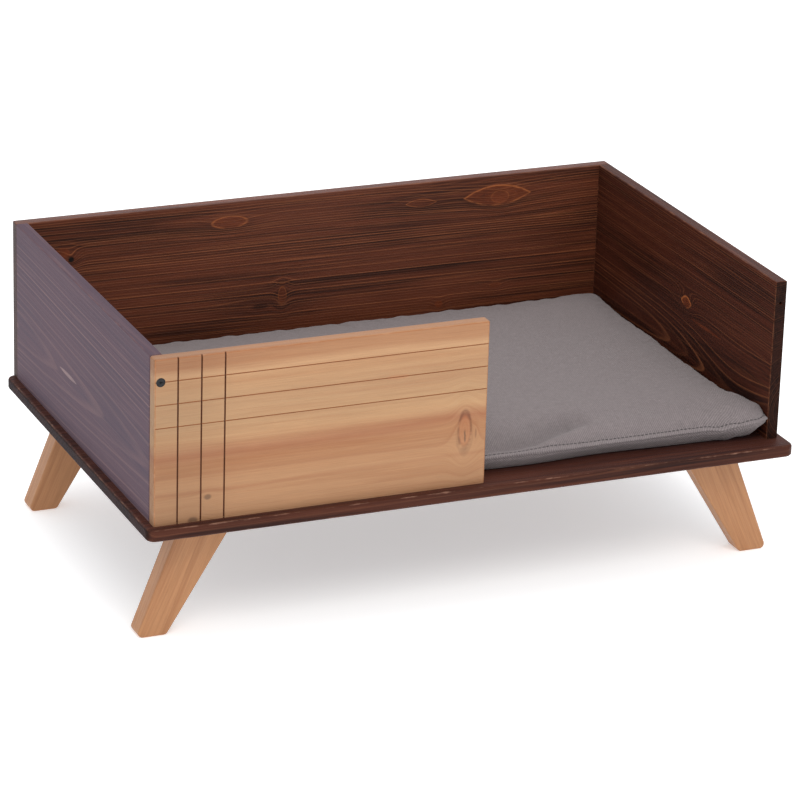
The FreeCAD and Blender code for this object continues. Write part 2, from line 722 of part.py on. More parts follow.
def make_zip_pull():
    """A flat tab that hangs from a round pin under the slider's bridge and lies along the chain.

    Its own origin is the pin's middle.
    """
    body = new_body("zip_pull")
    outline = new_sketch(body, "pull_outline", "XZ_Plane")
    neck = "pull_neck_width / 2"
    tip = "pull_tip_width / 2"
    draw_polygon(outline, [
        ("0", f"-{neck}"), ("0", neck), ("-pull_slot_length", neck), ("-pull_length", tip),
        ("-pull_length", f"-{tip}"), ("-pull_slot_length", f"-{neck}"),
    ])
    tab = pad(body, outline, "pull_thickness", centred=True)
    end = tab.Shape.BoundBox.XMin
    round_edges(body, tab, lambda e: lies_at_x(e, end) and close(e.BoundBox.ZLength, 0),
                "pull_tip_round")
    slot = new_sketch(body, "pull_slot", "XZ_Plane")
    slot_half = "(bridge_width / 2 + slider_play)"
    draw_rectangle(slot, "-pull_slot_length", "pull_pin_radius", f"-{slot_half}", slot_half)
    pocket(body, slot, "2 * pull_thickness", centred=True)
    pin = new_sketch(body, "pull_pin", "XY_Plane")
    draw_circles(pin, [("0", "0")], "pull_pin_radius")
    pad(body, pin, "pull_neck_width", centred=True)
    place(body, SLIDER_X, f"{TAPE_FACE} + {PIN_HEIGHT}", SEAM_Z)
    keep(body, "zip_pull")


# ---------------------------------------------------------------------------------------------
# Build, check and write
# ---------------------------------------------------------------------------------------------
def check_document():
    for item in document.Objects:
        if "Invalid" in item.State or "Error" in item.State:
            raise RuntimeError(f"{item.Label} failed: {item.State}")
    for name, item in nodes.items():
        if item.Shape.isNull() or not item.Shape.isValid() or not item.Shape.Solids:
            raise RuntimeError(f"{name} has no valid solid")


def write_parts():
    os.makedirs("parts", exist_ok=True)
    for name, item in nodes.items():
        item.Shape.exportStep(f"parts/{name}.step")
        box = item.Shape.BoundBox
        print(f"{name:22s} solids {len(item.Shape.Solids):2d}  volume {item.Shape.Volume / 1000:9.2f} cm3"
              f"  x {box.XMin:7.1f} {box.XMax:7.1f}  y {box.YMin:7.1f} {box.YMax:7.1f}"
              f"  z {box.ZMin:6.1f} {box.ZMax:6.1f}")


make_base_board()
make_back_board()
make_side_board("left_side_board")
make_side_board("right_side_board")
make_front_board()
for leg_row in LEG_ROWS:
    for leg_side in LEG_SIDES:
        make_leg(leg_row, leg_side)
make_fixings()
make_cushion()
make_zip_strips()
make_zip_slider()
make_zip_pull()
document.recompute()
check_document()
write_parts()
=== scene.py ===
import math
from dataclasses import dataclass

import bpy
import numpy as np
from mathutils import Matrix, Vector


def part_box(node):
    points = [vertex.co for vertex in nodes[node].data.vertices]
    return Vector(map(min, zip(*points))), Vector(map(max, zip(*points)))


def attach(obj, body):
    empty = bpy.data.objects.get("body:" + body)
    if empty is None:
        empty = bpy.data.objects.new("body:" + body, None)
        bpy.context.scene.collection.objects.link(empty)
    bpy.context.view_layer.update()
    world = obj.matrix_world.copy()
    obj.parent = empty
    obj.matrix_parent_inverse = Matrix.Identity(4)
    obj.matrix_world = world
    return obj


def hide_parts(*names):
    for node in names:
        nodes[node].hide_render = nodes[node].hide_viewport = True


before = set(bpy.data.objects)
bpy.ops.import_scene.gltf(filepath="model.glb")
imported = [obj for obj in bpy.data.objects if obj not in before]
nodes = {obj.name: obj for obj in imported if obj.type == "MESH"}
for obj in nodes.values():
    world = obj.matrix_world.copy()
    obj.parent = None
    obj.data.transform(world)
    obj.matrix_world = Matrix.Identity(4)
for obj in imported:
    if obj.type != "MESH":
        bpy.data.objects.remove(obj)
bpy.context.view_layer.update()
TURN = 2 * math.pi


# ---- Node trees, written as formulas
class Field:
    """A number that varies over a surface: a node's output, with arithmetic."""

    def __init__(self, graph, socket):
        self.graph = graph
        self.socket = socket

    def __add__(self, other):
        return self.graph.math("ADD", self, other)

    def __sub__(self, other):
        return self.graph.math("SUBTRACT", self, other)

    def __rsub__(self, other):
        return self.graph.math("SUBTRACT", other, self)

    def __mul__(self, other):
        return self.graph.math("MULTIPLY", self, other)

    def __truediv__(self, other):
        return self.graph.math("DIVIDE", self, other)

    __radd__ = __add__
    __rmul__ = __mul__


class Graph:
    """One material's node tree. Each call adds a node and gives its output as a Field."""

    def __init__(self, name):
        self.material = bpy.data.materials.new(name)
        self.material.use_nodes = True
        self.tree = self.material.node_tree
        self.shader = self.tree.nodes["Principled BSDF"]

    def put(self, socket, value):
        if isinstance(value, Field):
            self.tree.links.new(value.socket, socket)
        elif isinstance(value, tuple) and socket.type == "RGBA":
            socket.default_value = (*value, 1)
        else:
            socket.default_value = value

    def add(self, kind, values, result=0, **settings):
        node = self.tree.nodes.new("ShaderNode" + kind)
        for name, setting in settings.items():
            setattr(node, name, setting)
        for key, value in values.items():
            self.put(node.inputs[key], value)
        return Field(self, node.outputs[result])

    def math(self, operation, first, second=0.0):
        return self.add("Math", {0: first, 1: second}, operation=operation)

    def least(self, first, second):
        return self.math("MINIMUM", first, second)

    def most(self, first, second):
        return self.math("MAXIMUM", first, second)

    def size(self, value):
        return self.math("ABSOLUTE", value)

    def root(self, value):
        return self.math("SQRT", value)

    def fraction(self, value):
        return self.math("FRACT", value)

    def wave(self, value):
        return self.math("SINE", value)

    def place(self):
        """The point's own X, Y and Z in the CAD frame, in metres."""
        point = self.add("TexCoord", {}, "Object")
        return self.parts(point)

    def parts(self, vector):
        split = self.add("SeparateXYZ", {0: vector}, "X")
        outputs = split.socket.node.outputs
        return [Field(self, outputs[axis]) for axis in "XYZ"]

    def join(self, x, y, z):
        return self.add("CombineXYZ", {0: x, 1: y, 2: z})

    def noise(self, x, y, z, detail=2.0, roughness=0.5):
        """Smooth noise from -1 to 1. The coordinates carry the scale."""
        values = {"Vector": self.join(x, y, z), "Scale": 1.0, "Detail": detail, "Roughness": roughness}
        return self.add("TexNoise", values, "Fac") * 2.0 - 1.0

    def speckle(self, point, scale, detail=2.0, roughness=0.5):
        """Smooth noise with this many waves per metre in every direction."""
        return self.noise(*(value * scale for value in point), detail, roughness)

    def chance(self, value):
        """A random number from 0 to 1 for each whole number."""
        return self.add("TexWhiteNoise", {"W": value}, "Value", noise_dimensions="1D")

    def step(self, value, low, high):
        """A smooth step from 0 at low to 1 at high."""
        values = {"Value": value, "From Min": low, "From Max": high}
        return self.add("MapRange", values, interpolation_type="SMOOTHSTEP")

    def mix(self, share, first, second, kind="MIX"):
        values = {0: share, 6: first, 7: second}
        return self.add("Mix", values, 2, data_type="RGBA", blend_type=kind, clamp_factor=True)

    def ramp(self, value, stops):
        """A colour ramp through (place, colour) stops."""
        node = self.tree.nodes.new("ShaderNodeValToRGB")
        self.put(node.inputs[0], value)
        elements = node.color_ramp.elements
        for spot, colour in stops[1:-1]:
            elements.new(spot)
        for element, (spot, colour) in zip(elements, stops):
            element.position = spot
            element.color = (*colour, 1)
        return Field(self, node.outputs[0])

    def shade(self, colour, value, strength):
        """The colour made lighter and darker by a field from -1 to 1."""
        values = {0: colour, "Scale": value * strength + 1.0}
        return self.add("VectorMath", values, operation="SCALE")

    def bump(self, height, distance):
        values = {"Height": height, "Distance": distance, "Strength": 1.0}
        return self.add("Bump", values, "Normal")

    def finish(self, **sockets):
        """Sets the shader's inputs, named as in Blender with _ for a space."""
        for name, value in sockets.items():
            self.put(self.shader.inputs[name.replace("_", " ")], value)
        return self.material


def srgb(red, green, blue):
    """A colour given as 0 to 255 in sRGB, in linear light."""
    levels = []
    for level in (red / 255, green / 255, blue / 255):
        levels.append(level / 12.92 if level < 0.04045 else ((level + 0.055) / 1.055) ** 2.4)
    return tuple(levels)


def dress(node, material):
    """Gives a CAD node its material; the node's mesh and place stay as they are."""
    for slot in nodes[node].material_slots:
        slot.material = material


# ---- Wood: growth rings round a pith outside the board, bent round knots, under a stain or an oil

# early, deep and late colour the grain, core, rim and dead its knots, and worn its rubbed edges; line,
# streak and fine are how strongly its lines, streaks and specks show, end is its end grain's level, and
# shine its specular level.
DARK_STAIN = dict(early=srgb(98, 50, 32), deep=srgb(46, 21, 14), late=srgb(176, 106, 66),
                  core=srgb(120, 56, 28), rim=srgb(172, 98, 54), dead=srgb(14, 8, 6),
                  worn=srgb(146, 98, 72), line=0.65, streak=1.0, fine=0.48, end=0.3, roughness=0.4,
                  shine=0.25)
RIGHT_STAIN = dict(DARK_STAIN, early=srgb(72, 34, 22), deep=srgb(40, 18, 12), late=srgb(140, 84, 54),
                   line=0.7, shine=0.08)
LEFT_STAIN = dict(DARK_STAIN, early=srgb(80, 45, 37), deep=srgb(55, 31, 26), late=srgb(148, 110, 94),
                  core=srgb(190, 160, 146), line=0.75, fine=0.32, shine=0.04, roughness=0.55)
BASE_STAIN = dict(DARK_STAIN, early=srgb(76, 40, 28), deep=srgb(42, 22, 18), late=srgb(112, 68, 48),
                  worn=srgb(164, 124, 104), line=0.35, shine=0.1, roughness=0.5)
PALE_OIL = dict(early=srgb(178, 142, 106), deep=srgb(158, 110, 74), late=srgb(150, 98, 62),
                core=srgb(170, 104, 62), rim=srgb(104, 58, 34), dead=srgb(84, 54, 38),
                worn=srgb(190, 148, 116), line=0.6, streak=0.8, fine=0.26, end=0.85, roughness=0.46,
                shine=0.4)
LEG_OIL = dict(PALE_OIL, early=srgb(175, 124, 83), deep=srgb(152, 100, 62), line=0.4)
LEVEL_GROOVE = srgb(160, 98, 54)
UPRIGHT_GROOVE = srgb(96, 52, 28)
HAZE_TINT = (0.72, 0.70, 1.0)
HAZE_ROUGHNESS = 0.35
# The painted reflection: a pale mauve mixed into a board's colour, and how far in from its +X face it
# stops.
PAINTED_REFLECTION = srgb(97, 88, 103)
PAINTED_REFLECTION_EDGE = (0.0012, 0.0004)
WOOD_RELIEF = 0.00022
LEG_RELIEF = 0.0002
LEG_LEAN = 0.45
RUB_REACH = 0.0034
RUB_EDGE = (-0.0003, 0.0016)

# Noises in the wood: waves per metre along and across the grain, detail, roughness, and which of the
# three coordinates the board's seed moves.
SLOW = (1.3, 6.0, 2.0, 0.5, 0)
RIPPLE = (5.0, 30.0, 3.0, 0.5, 1)
PATCHES = (60.0, 110.0, 3.0, 0.5, 1)
STREAKS = (3.6, 150.0, 4.0, 0.68, 1)
HAIRS = (4.5, 480.0, 2.0, 0.6, 0)
CLOUDS = (3.0, 19.0, 2.0, 0.5, 0)
SPECKS = (16.0, 900.0, 3.0, 0.75, 2)
FIBRES = (45.0, 1500.0, 2.0, 0.6, 0)
DRIFT = (3.0, 14.0, 3.0, 0.5, 1)
RIPPLE_HEIGHT = 0.0009

# Knots, in shares of their half sizes. A pair is where a step starts and ends.
KNOT_FADE = 0.3
KNOT_BEND = 0.8
KNOT_RAGGED = 0.1
KNOT_RINGS = 17.0
KNOT_INSIDE = (0.8, 1.05)
KNOT_HEART = (0.35, 0.8)
KNOT_BAND_START = 0.02
KNOT_SHADOW = 1.3
SHADOW_WIDTH = 0.3
CRACK_WIDTH = (0.05, 0.22)
CRACK_START = (-0.75, -0.55)
CRACK_END = (-0.15, 0.1)

# The pale line in each year's ring, as shares of the ring.
LATE_RISE = (0.55, 0.85)
LATE_FALL = (0.9, 1.0)


@dataclass
class Knot:
    """A knot at a place on the board's face, as long and wide as its half sizes.

    pull is how far it pushes the rings aside, core and rim are how strongly they show, and dead is
    how black its middle is. lens gives it pointed ends, crack is a dark split in its middle, and ring
    is how wide its rim is, as a share of its size.
    """

    along: float
    across: float
    half_long: float
    half_wide: float
    pull: float = 1.6
    core: float = 0.0
    rim: float = 0.0
    dead: float = 0.0
    lens: bool = False
    crack: float = 0.0
    ring: float = 0.13


def box_edges(g, place, low, high):
    """The distance from the nearest edge of a box, on its surface."""
    gaps = [g.least(value - low[axis], high[axis] - value) for axis, value in enumerate(place)]
    near = g.least(gaps[0], gaps[1])
    far = g.most(gaps[0], gaps[1])
    return g.most(near, g.least(far, gaps[2]))


def stretched(g, place, kind, seed):
    """A noise drawn out along the grain."""
    along, across, detail, roughness, moved = kind
    spots = [place[0] * along, place[1] * across, place[2] * across]
    spots[moved] = spots[moved] + seed
    return g.noise(*spots, detail, roughness)


def bend_round(g, knots, along, across, patches):
    """How the knots bend the grain and push its rings, and how strong their colours are."""
    flow = across
    bulge = None
    marks = {"core": None, "rim": None, "dead": None}
    for knot in knots:
        long = (along - knot.along) / knot.half_long
        wide = (across - knot.across) / knot.half_wide
        reach = long * long + wide * wide
        push = g.math("EXPONENT", reach * -KNOT_FADE)
        flow = flow - wide * push * (KNOT_BEND * knot.half_wide)
        lift = push * (knot.pull * knot.half_wide)
        bulge = lift if bulge is None else bulge + lift
        span = g.size(wide) + long * long if knot.lens else g.root(reach)
        span = span + patches * KNOT_RAGGED
        found = []
        if knot.core:
            rings = g.wave(span * KNOT_RINGS) * 0.22 + 0.78
            found.append(("core", (1.0 - g.step(span, *KNOT_INSIDE)) * rings * knot.core))
        if knot.rim:
            broken = g.step(patches + wide * 0.25, -0.5, 0.2)
            band = 1.0 - g.step(g.size(span - 1.0), KNOT_BAND_START, knot.ring)
            shadow = (1.0 - g.step(g.size(span - KNOT_SHADOW), 0.0, SHADOW_WIDTH)) * 0.5
            found.append(("rim", band * broken * knot.rim))
            found.append(("dead", shadow * g.step(wide, 0.6, -0.9) * knot.rim * 0.6))
        if knot.dead:
            found.append(("dead", (1.0 - g.step(span, *KNOT_HEART)) * knot.dead))
        if knot.crack:
            slit = 1.0 - g.step(g.size(long + wide * 0.15 + patches * 0.15), *CRACK_WIDTH)
            deep = g.step(wide, *CRACK_START) * (1.0 - g.step(wide, *CRACK_END))
            found.append(("dead", slit * deep * knot.crack))
        for kind, field in found:
            marks[kind] = field if marks[kind] is None else g.most(marks[kind], field)
    return flow, bulge, marks


def grain(g, along, across, depth, tones, spacing, pith, tilt, wander, knots, seed):
    """The colour, fine relief and streakiness of a board, from its three coordinates in metres."""
    place = (along, across, depth)
    slow = stretched(g, place, SLOW, seed)
    ripple = stretched(g, place, RIPPLE, seed)
    patches = stretched(g, place, PATCHES, seed)
    fibres = stretched(g, place, FIBRES, seed)
    flow, bulge, marks = bend_round(g, knots, along, across, patches)
    side = across - pith[0]
    level = depth - pith[1] - along * tilt
    radius = g.root(side * side + level * level) + slow * wander + ripple * RIPPLE_HEIGHT
    if bulge is not None:
        radius = radius + bulge
    count = radius / spacing
    turn = g.fraction(count)
    luck = g.chance(g.math("FLOOR", count))
    late = g.step(turn, *LATE_RISE) * (1.0 - g.step(turn, *LATE_FALL))
    flowing = (along, flow + slow * (wander * 0.6), depth)
    streaks = stretched(g, flowing, STREAKS, seed)
    hairs = stretched(g, flowing, HAIRS, seed)
    clouds = stretched(g, flowing, CLOUDS, seed)
    specks = stretched(g, flowing, SPECKS, seed)
    dark = g.step(streaks * 0.9 + clouds * 0.6 + luck * 0.25 - 0.15, -0.3, 0.5) * tones["streak"]
    colour = g.mix(dark, tones["early"], tones["deep"])
    pale = g.most(late * (luck * luck * 0.95 + 0.05), g.step(hairs, 0.1, 0.55) * 0.6) * tones["line"]
    colour = g.mix(pale, colour, tones["late"])
    if marks["core"] is not None:
        heart = g.shade(g.mix(0.7, colour, tones["core"]), patches, 0.3)
        colour = g.mix(marks["core"], colour, heart)
    for kind in ("rim", "dead"):
        if marks[kind] is not None:
            colour = g.mix(marks[kind], colour, tones[kind])
    colour = g.shade(colour, specks + fibres * 0.4, tones["fine"])
    relief = fibres * 0.5 + late * 0.5 + specks * 0.5
    return colour, relief, streaks


def end_grain(g, axis):
    """1 on a face that cuts across the grain, 0 on a face along it."""
    normal = g.parts(g.add("NewGeometry", {}, "Normal"))
    return g.step(g.size(normal["xyz".index(axis)]), 0.6, 0.95)


def dress_board(name, node, axes, tones, spacing, pith, tilt, wander, seed, knots=(), wear=0.35,
                haze=0.05, painted_reflection=0.0):
    """Dresses a board. axes names its along, across and depth axes, as in "xzy", which start at the
    middle of its box. wear is how pale its edges are rubbed, haze how milky the whole board looks,
    and the last argument how strongly a painted reflection, a pale mauve mixed into the colour,
    covers it all over but on its face towards +X."""
    g = Graph(name)
    place = g.place()
    low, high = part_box(node)
    middle = (low + high) / 2
    along, across, depth = (place["xyz".index(a)] - middle["xyz".index(a)] for a in axes)
    colour, relief, streak = grain(g, along, across, depth, tones, spacing, pith, tilt, wander, knots, seed)
    if node == "front_board":
        colour = banded(g, colour, along, across, depth, high.z - low.z, seed)
        colour = grooved(g, colour, place, low, high)
    edge = box_edges(g, place, low, high)
    rub = g.noise(place[0] * 30.0, place[1] * 42.0, place[2] * 150.0 + seed, 4.0, 0.7)
    worn = (1.0 - g.step(edge + rub * RUB_REACH, *RUB_EDGE)) * wear
    colour = g.mix(worn, colour, tones["worn"])
    end = end_grain(g, axes[0])
    colour = g.shade(colour, end, tones["end"] - 1.0)
    # Painted reflection: a pale mauve mixed into the colour on every face but the one towards +X, in place
    # of the floor reflected at a grazing angle.
    if painted_reflection:
        reflected_faces = 1.0 - g.step(place[0], *(high.x - gap for gap in PAINTED_REFLECTION_EDGE))
        colour = g.mix(reflected_faces * painted_reflection, colour, PAINTED_REFLECTION)
    roughness = streak * 0.06 + worn * 0.15 + end * 0.2 + tones["roughness"]
    g.finish(Base_Color=colour, Roughness=roughness, Normal=g.bump(relief, WOOD_RELIEF),
             Specular_IOR_Level=tones["shine"])
    if haze:
        g.finish(Sheen_Weight=haze, Sheen_Roughness=HAZE_ROUGHNESS, Sheen_Tint=HAZE_TINT)
    dress(node, g.material)


def banded(g, colour, along, across, depth, height, seed):
    """Lays the front board's broad bands of heartwood and sapwood over its grain. They bend near the
    large knot, and are duller towards the board's left end."""
    drift = stretched(g, (along, across, depth), DRIFT, seed)
    away = across - SWIRL_ACROSS
    swirl = g.step(along, *SWIRL_ALONG) * g.math("EXPONENT", away * away * -SWIRL_FADE)
    level = (across + drift * BAND_SWAY - swirl * BAND_SWAY) / height + 0.5
    band = g.mix(0.5, g.ramp(level, FRONT_BANDS), colour, "OVERLAY")
    return g.shade(g.mix(BAND_SHARE, colour, band), g.step(along, *DULL_ALONG), -DULL_DEPTH)


def grooved(g, colour, place, low, high):
    """Darkens the floors of the front board's grooves: the deeper the groove, the darker."""
    sunk = place[1] - low.y
    ends = g.least(place[0] - low.x, high.x - place[0])
    sides = g.least(place[2] - low.z, high.z - place[2])
    inner = g.step(g.least(ends, sides), *GROOVE_MARGIN)
    front = g.step(sunk, *GROOVE_MOUTH) * (1.0 - g.step(sunk, *GROOVE_FLOOR))
    shadow = g.mix(g.step(sunk, *BETWEEN_GROOVES), LEVEL_GROOVE, UPRIGHT_GROOVE)
    return g.mix(front * inner, colour, shadow)


BACK_KNOTS = (
    Knot(0.242, 0.073, 0.046, 0.013, pull=0.5, core=0.8, rim=0.8, lens=True),
    Knot(0.246, 0.071, 0.012, 0.008, pull=0.4, core=0.9, rim=0.3),
    Knot(0.136, 0.073, 0.021, 0.005, pull=0.7, core=0.4, rim=0.7, lens=True),
    Knot(-0.123, 0.074, 0.023, 0.0075, pull=0.8, core=0.7, rim=0.6),
    Knot(-0.051, -0.030, 0.0055, 0.011, pull=0.4, core=0.6, rim=0.35),
    Knot(-0.080, -0.042, 0.020, 0.006, pull=0.3, dead=0.6),
    Knot(0.244, -0.049, 0.008, 0.0035, pull=1.2, core=0.5, rim=0.2),
    Knot(0.165, -0.066, 0.006, 0.005, pull=0.8, core=0.9),
    Knot(-0.330, 0.047, 0.0062, 0.0062, pull=1.4, dead=1.0),
    Knot(-0.341, 0.056, 0.010, 0.007, pull=0.5, core=1.0),
)
RIGHT_KNOTS = (
    Knot(-0.018, -0.0003, 0.013, 0.007, pull=2.2, core=0.9, rim=1.0, lens=True, ring=0.3),
    Knot(-0.075, -0.017, 0.044, 0.0022, pull=0.9, core=0.9, lens=True),
    Knot(-0.150, -0.040, 0.070, 0.020, pull=0.6),
)
LEFT_KNOTS = (
    Knot(0.044, -0.0255, 0.034, 0.0028, pull=0.3, core=1.0, lens=True),
)
FRONT_KNOTS = (
    Knot(0.176, -0.031, 0.0080, 0.022, pull=0.6, core=0.9, rim=0.95, crack=0.95, ring=0.30),
    Knot(0.176, -0.055, 0.0075, 0.010, pull=0.2, dead=0.3),
    Knot(0.190, -0.036, 0.0022, 0.010, pull=0.3, dead=0.55),
    Knot(-0.139, -0.072, 0.007, 0.0055, pull=1.0, dead=0.9),
    Knot(-0.157, -0.098, 0.010, 0.0065, pull=0.8, dead=0.95),
    Knot(0.090, 0.045, 0.016, 0.003, pull=0.3, core=0.9),
)
SWIRL_ALONG = (0.06, 0.19)
SWIRL_ACROSS = -0.03
SWIRL_FADE = 1500.0
BAND_SWAY = 0.008
BAND_SHARE = 0.66
DULL_ALONG = (-0.08, -0.17)
DULL_DEPTH = 0.14
GROOVE_MARGIN = (0.0008, 0.0012)
GROOVE_MOUTH = (0.0001, 0.0003)
GROOVE_FLOOR = (0.0023, 0.0026)
BETWEEN_GROOVES = (0.0009, 0.0014)
# The front board's bands, from its bottom edge (0) to its top edge (1).
FRONT_BANDS = (
    (0.0, srgb(157, 117, 82)),
    (0.17, srgb(168, 129, 92)),
    (0.185, srgb(158, 112, 76)),
    (0.20, srgb(170, 131, 94)),
    (0.34, srgb(160, 111, 69)),
    (0.41, srgb(152, 93, 56)),
    (0.50, srgb(188, 158, 119)),
    (0.56, srgb(177, 148, 112)),
    (0.72, srgb(178, 150, 115)),
    (0.84, srgb(178, 142, 104)),
    (0.885, srgb(192, 160, 124)),
    (0.93, srgb(162, 117, 80)),
    (1.0, srgb(158, 110, 72)),
)


def dress_wood():
    dress_board("stained_back", "back_board", "xzy", DARK_STAIN, spacing=0.0031, pith=(-0.19, 0.07),
                tilt=0.010, wander=0.003, knots=BACK_KNOTS, seed=3.0)
    dress_board("stained_right", "right_side_board", "yzx", RIGHT_STAIN, spacing=0.0027,
                pith=(-0.060, 0.028), tilt=-0.015, wander=0.003, knots=RIGHT_KNOTS, seed=11.0, haze=0.015)
    # The left board's outside gets a painted reflection in its colour.
    dress_board("stained_left", "left_side_board", "yzx", LEFT_STAIN, spacing=0.0056,
                pith=(-0.030, 0.040), tilt=-0.031, wander=0.004, knots=LEFT_KNOTS, seed=23.0, haze=0.08,
                painted_reflection=0.5)
    dress_board("stained_base", "base_board", "xyz", BASE_STAIN, spacing=0.006, pith=(-0.1, -0.2),
                tilt=0.01, wander=0.008, seed=37.0, wear=0.6)
    dress_board("oiled_front", "front_board", "xzy", PALE_OIL, spacing=0.009, pith=(0.10, 0.3), tilt=0.0,
                wander=0.006, knots=FRONT_KNOTS, seed=51.0, wear=0.3, haze=0)
    for number, node in enumerate(("leg_front_left", "leg_front_right", "leg_rear_left", "leg_rear_right")):
        dress(node, leg_material(node, number))


def leg_material(node, number):
    """Pale wood whose grain runs down the leaning leg."""
    g = Graph("oiled_" + node)
    x, y, z = g.place()
    low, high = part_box(node)
    lean = Vector((LEG_LEAN, 0, -1)).normalized()
    out = g.size(x) - min(abs(low.x), abs(high.x))
    along = out * lean.x + z * lean.z
    across = out * -lean.z + z * lean.x
    depth = y - (low.y + high.y) / 2
    pith = (0.03 + 0.02 * number, 0.06)
    colour, relief, streaks = grain(g, along, across, depth, LEG_OIL, spacing=0.0036, pith=pith, tilt=0.03,
                                    wander=0.006, knots=(), seed=60.0 + 9.0 * number)
    roughness = streaks * 0.05 + PALE_OIL["roughness"]
    g.finish(Base_Color=colour, Roughness=roughness, Normal=g.bump(relief, LEG_RELIEF),
             Specular_IOR_Level=PALE_OIL["shine"])
    return g.material


def beech_material():
    g = Graph("beech")
    place = g.place()
    fleck = g.speckle(place, 500.0, 3.0, 0.6)
    cloud = g.speckle(place, 60.0)
    colour = g.mix(g.step(fleck + cloud * 0.4, -0.3, 0.6), srgb(212, 176, 136), srgb(186, 144, 104))
    g.finish(Base_Color=colour, Roughness=fleck * 0.05 + 0.6, Normal=g.bump(fleck, 0.0001))
    return g.material


def metal_material(name, bright, dark, roughness, metallic, scratch=900.0):
    """A finished metal with fine scratches and dull patches."""
    g = Graph(name)
    place = g.place()
    mark = g.noise(place[0] * scratch, place[1] * scratch * 0.2, place[2] * scratch, 3.0, 0.6)
    patch = g.speckle(place, 170.0, 3.0)
    colour = g.mix(g.step(patch + mark * 0.4, -0.5, 0.7), dark, bright)
    g.finish(Base_Color=colour, Roughness=mark * 0.08 + patch * 0.08 + roughness, Metallic=metallic,
             Normal=g.bump(mark, 0.00004))
    return g.material


HERRINGBONE = 0.0032
TAPE_RIB = 0.0011


def tape_material():
    """The zip's woven tape: a herringbone of fine ribs along it."""
    g = Graph("zip_tape_weave")
    x, _, z = g.place()
    rib = g.wave(z * (2 * TURN / HERRINGBONE))
    slant = g.wave((x + g.size(g.fraction(z / HERRINGBONE) - 0.5) * HERRINGBONE) * (TURN / TAPE_RIB))
    fuzz = g.noise(x * 1800.0, 0.0, z * 1800.0, 2.0)
    tone = g.step(rib * 0.3 + slant * 0.5 + fuzz * 0.4, -1.0, 1.0)
    colour = g.mix(tone, srgb(70, 66, 67), srgb(112, 106, 107))
    g.finish(Base_Color=colour, Roughness=fuzz * 0.05 + 0.85, Normal=g.bump(rib * 0.4 + slant, 0.00015),
             Sheen_Weight=0.1)
    return g.material


def dress_small_parts():
    zinc = metal_material("zinc_plate", srgb(196, 198, 202), srgb(150, 152, 158), 0.34, 1.0)
    black = metal_material("black_oxide", srgb(46, 46, 48), srgb(18, 18, 20), 0.42, 0.6)
    nickel = metal_material("dull_nickel", srgb(176, 174, 170), srgb(120, 118, 116), 0.3, 1.0, 1500.0)
    beech = beech_material()
    dress("front_board_screw", black)
    for node in ("wall_screws", "back_board_screws", "leg_screws"):
        dress(node, zinc)
    for node in ("wall_dowels", "leg_dowels"):
        dress(node, beech)
    for node in ("zip_stops", "zip_slider", "zip_pull"):
        dress(node, nickel)
    dress("zip_tapes", tape_material())


dress_wood()
dress_small_parts()


# ---- The cushion: two panels of cloth sewn together round a seam part-way up its side
MM = 0.001
# The form: a zone of dense rows round the edge, in which each panel arches up from the seam.
EDGE_ZONE = 40 * MM
CORNER_RADIUS = 28 * MM
TOP_SHOULDER = 17 * MM
TOP_POWER = 2.0
BOTTOM_SHOULDER = 9 * MM
BOTTOM_POWER = 2.6
ARC_POINTS = 200
FINE_STEP = 4 * MM
SEAM_ROWS = [0, 0.8, 1.6, 2.4, 3.3, 4.2, 5.4, 7, 9, 11.5, 14.5, 18, 22, 26, 30, 35, 40]
STITCH_ROW = 4
# The cloth simulation, on a coarser grid.
SIM_STEP = 9 * MM
SIM_ROWS = [0, 5, 10, 16, 24, 32, 40]
SIM_FRAMES = 20
SIM_PRESSURE = 4.0
MOST_SWELL = 7 * MM
RIM_SWELL = 0.4
# What use has done to it.
EDGE_REACH = 42 * MM
EDGE_WAVES = (230 * MM, 131 * MM)
EDGE_SWAY = 1.6 * MM
LOWER_SWAY = 0.4
CREST = 22 * MM
CREST_WAVES = (59 * MM, 34 * MM, 23 * MM)
CREST_SWAY = 1.2 * MM
WAVE_SHIFT = 5.1
FRONT_BULGE = 10 * MM
LOWER_BULGE = 0.75
FRONT_SAG = 3 * MM
FRONT_SWAY = 0.35
FRONT_WAVE = 210 * MM
FRONT_DIP = 172 * MM
EAR_CORE = 24 * MM
EAR_REACH = 80 * MM
EAR_FOLD = 26 * MM
EAR_FOLD_DEPTH = 1.2 * MM
EAR_PULL = (12 * MM, -11 * MM, 8 * MM)
EAR_RISE_POWER = 2.5
EAR_BLUNT = 0.7
SMALL_EAR = 2.5 * MM
SMALL_EAR_REACH = 45 * MM
WALL_GAP = 0.6 * MM
CREASE = ((0.030, -0.216), (0.166, -0.203))
CREASE_START = (-0.45, 0.2)
CREASE_END = (0.75, 1.15)
CREASE_DEPTH = 8 * MM
CREASE_WIDTH = 9 * MM
CREASE_BACK = 23 * MM
CREASE_ROLL = 2.5 * MM
CREASE_BEND = 3 * MM
# The seam, the stitches and the zip.
SEAM_RIDGE = 0.35 * MM
RIDGE_WIDTH = 2.2 * MM
SEAM_GROOVE = 1.0 * MM
GROOVE_WIDTH = 2.0 * MM
LOWER_GROOVE_AT = 2.6 * MM
PUCKERS = (21 * MM, 14 * MM)
PUCKER_HEIGHT = 0.22 * MM
PUCKER_REACH = 16 * MM
STITCH_PITCH = 5.2 * MM
STITCH_LENGTH = 3.8 * MM
STITCH_SHARES = (-0.5, -0.32, 0, 0.32, 0.5)
STITCH_RISE = (-0.1 * MM, 0.25 * MM, 0.35 * MM, 0.25 * MM, -0.1 * MM)
THREAD_RADIUS = 0.5 * MM
THREAD_TWIST = 0.7 * MM
TAPE_SINK = 0.15 * MM
TAPE_MARGIN = 1.5 * MM
COIL_RADIUS = 0.36 * MM
COIL_PITCH = 1.25 * MM
COIL_OVERLAP = 1.35
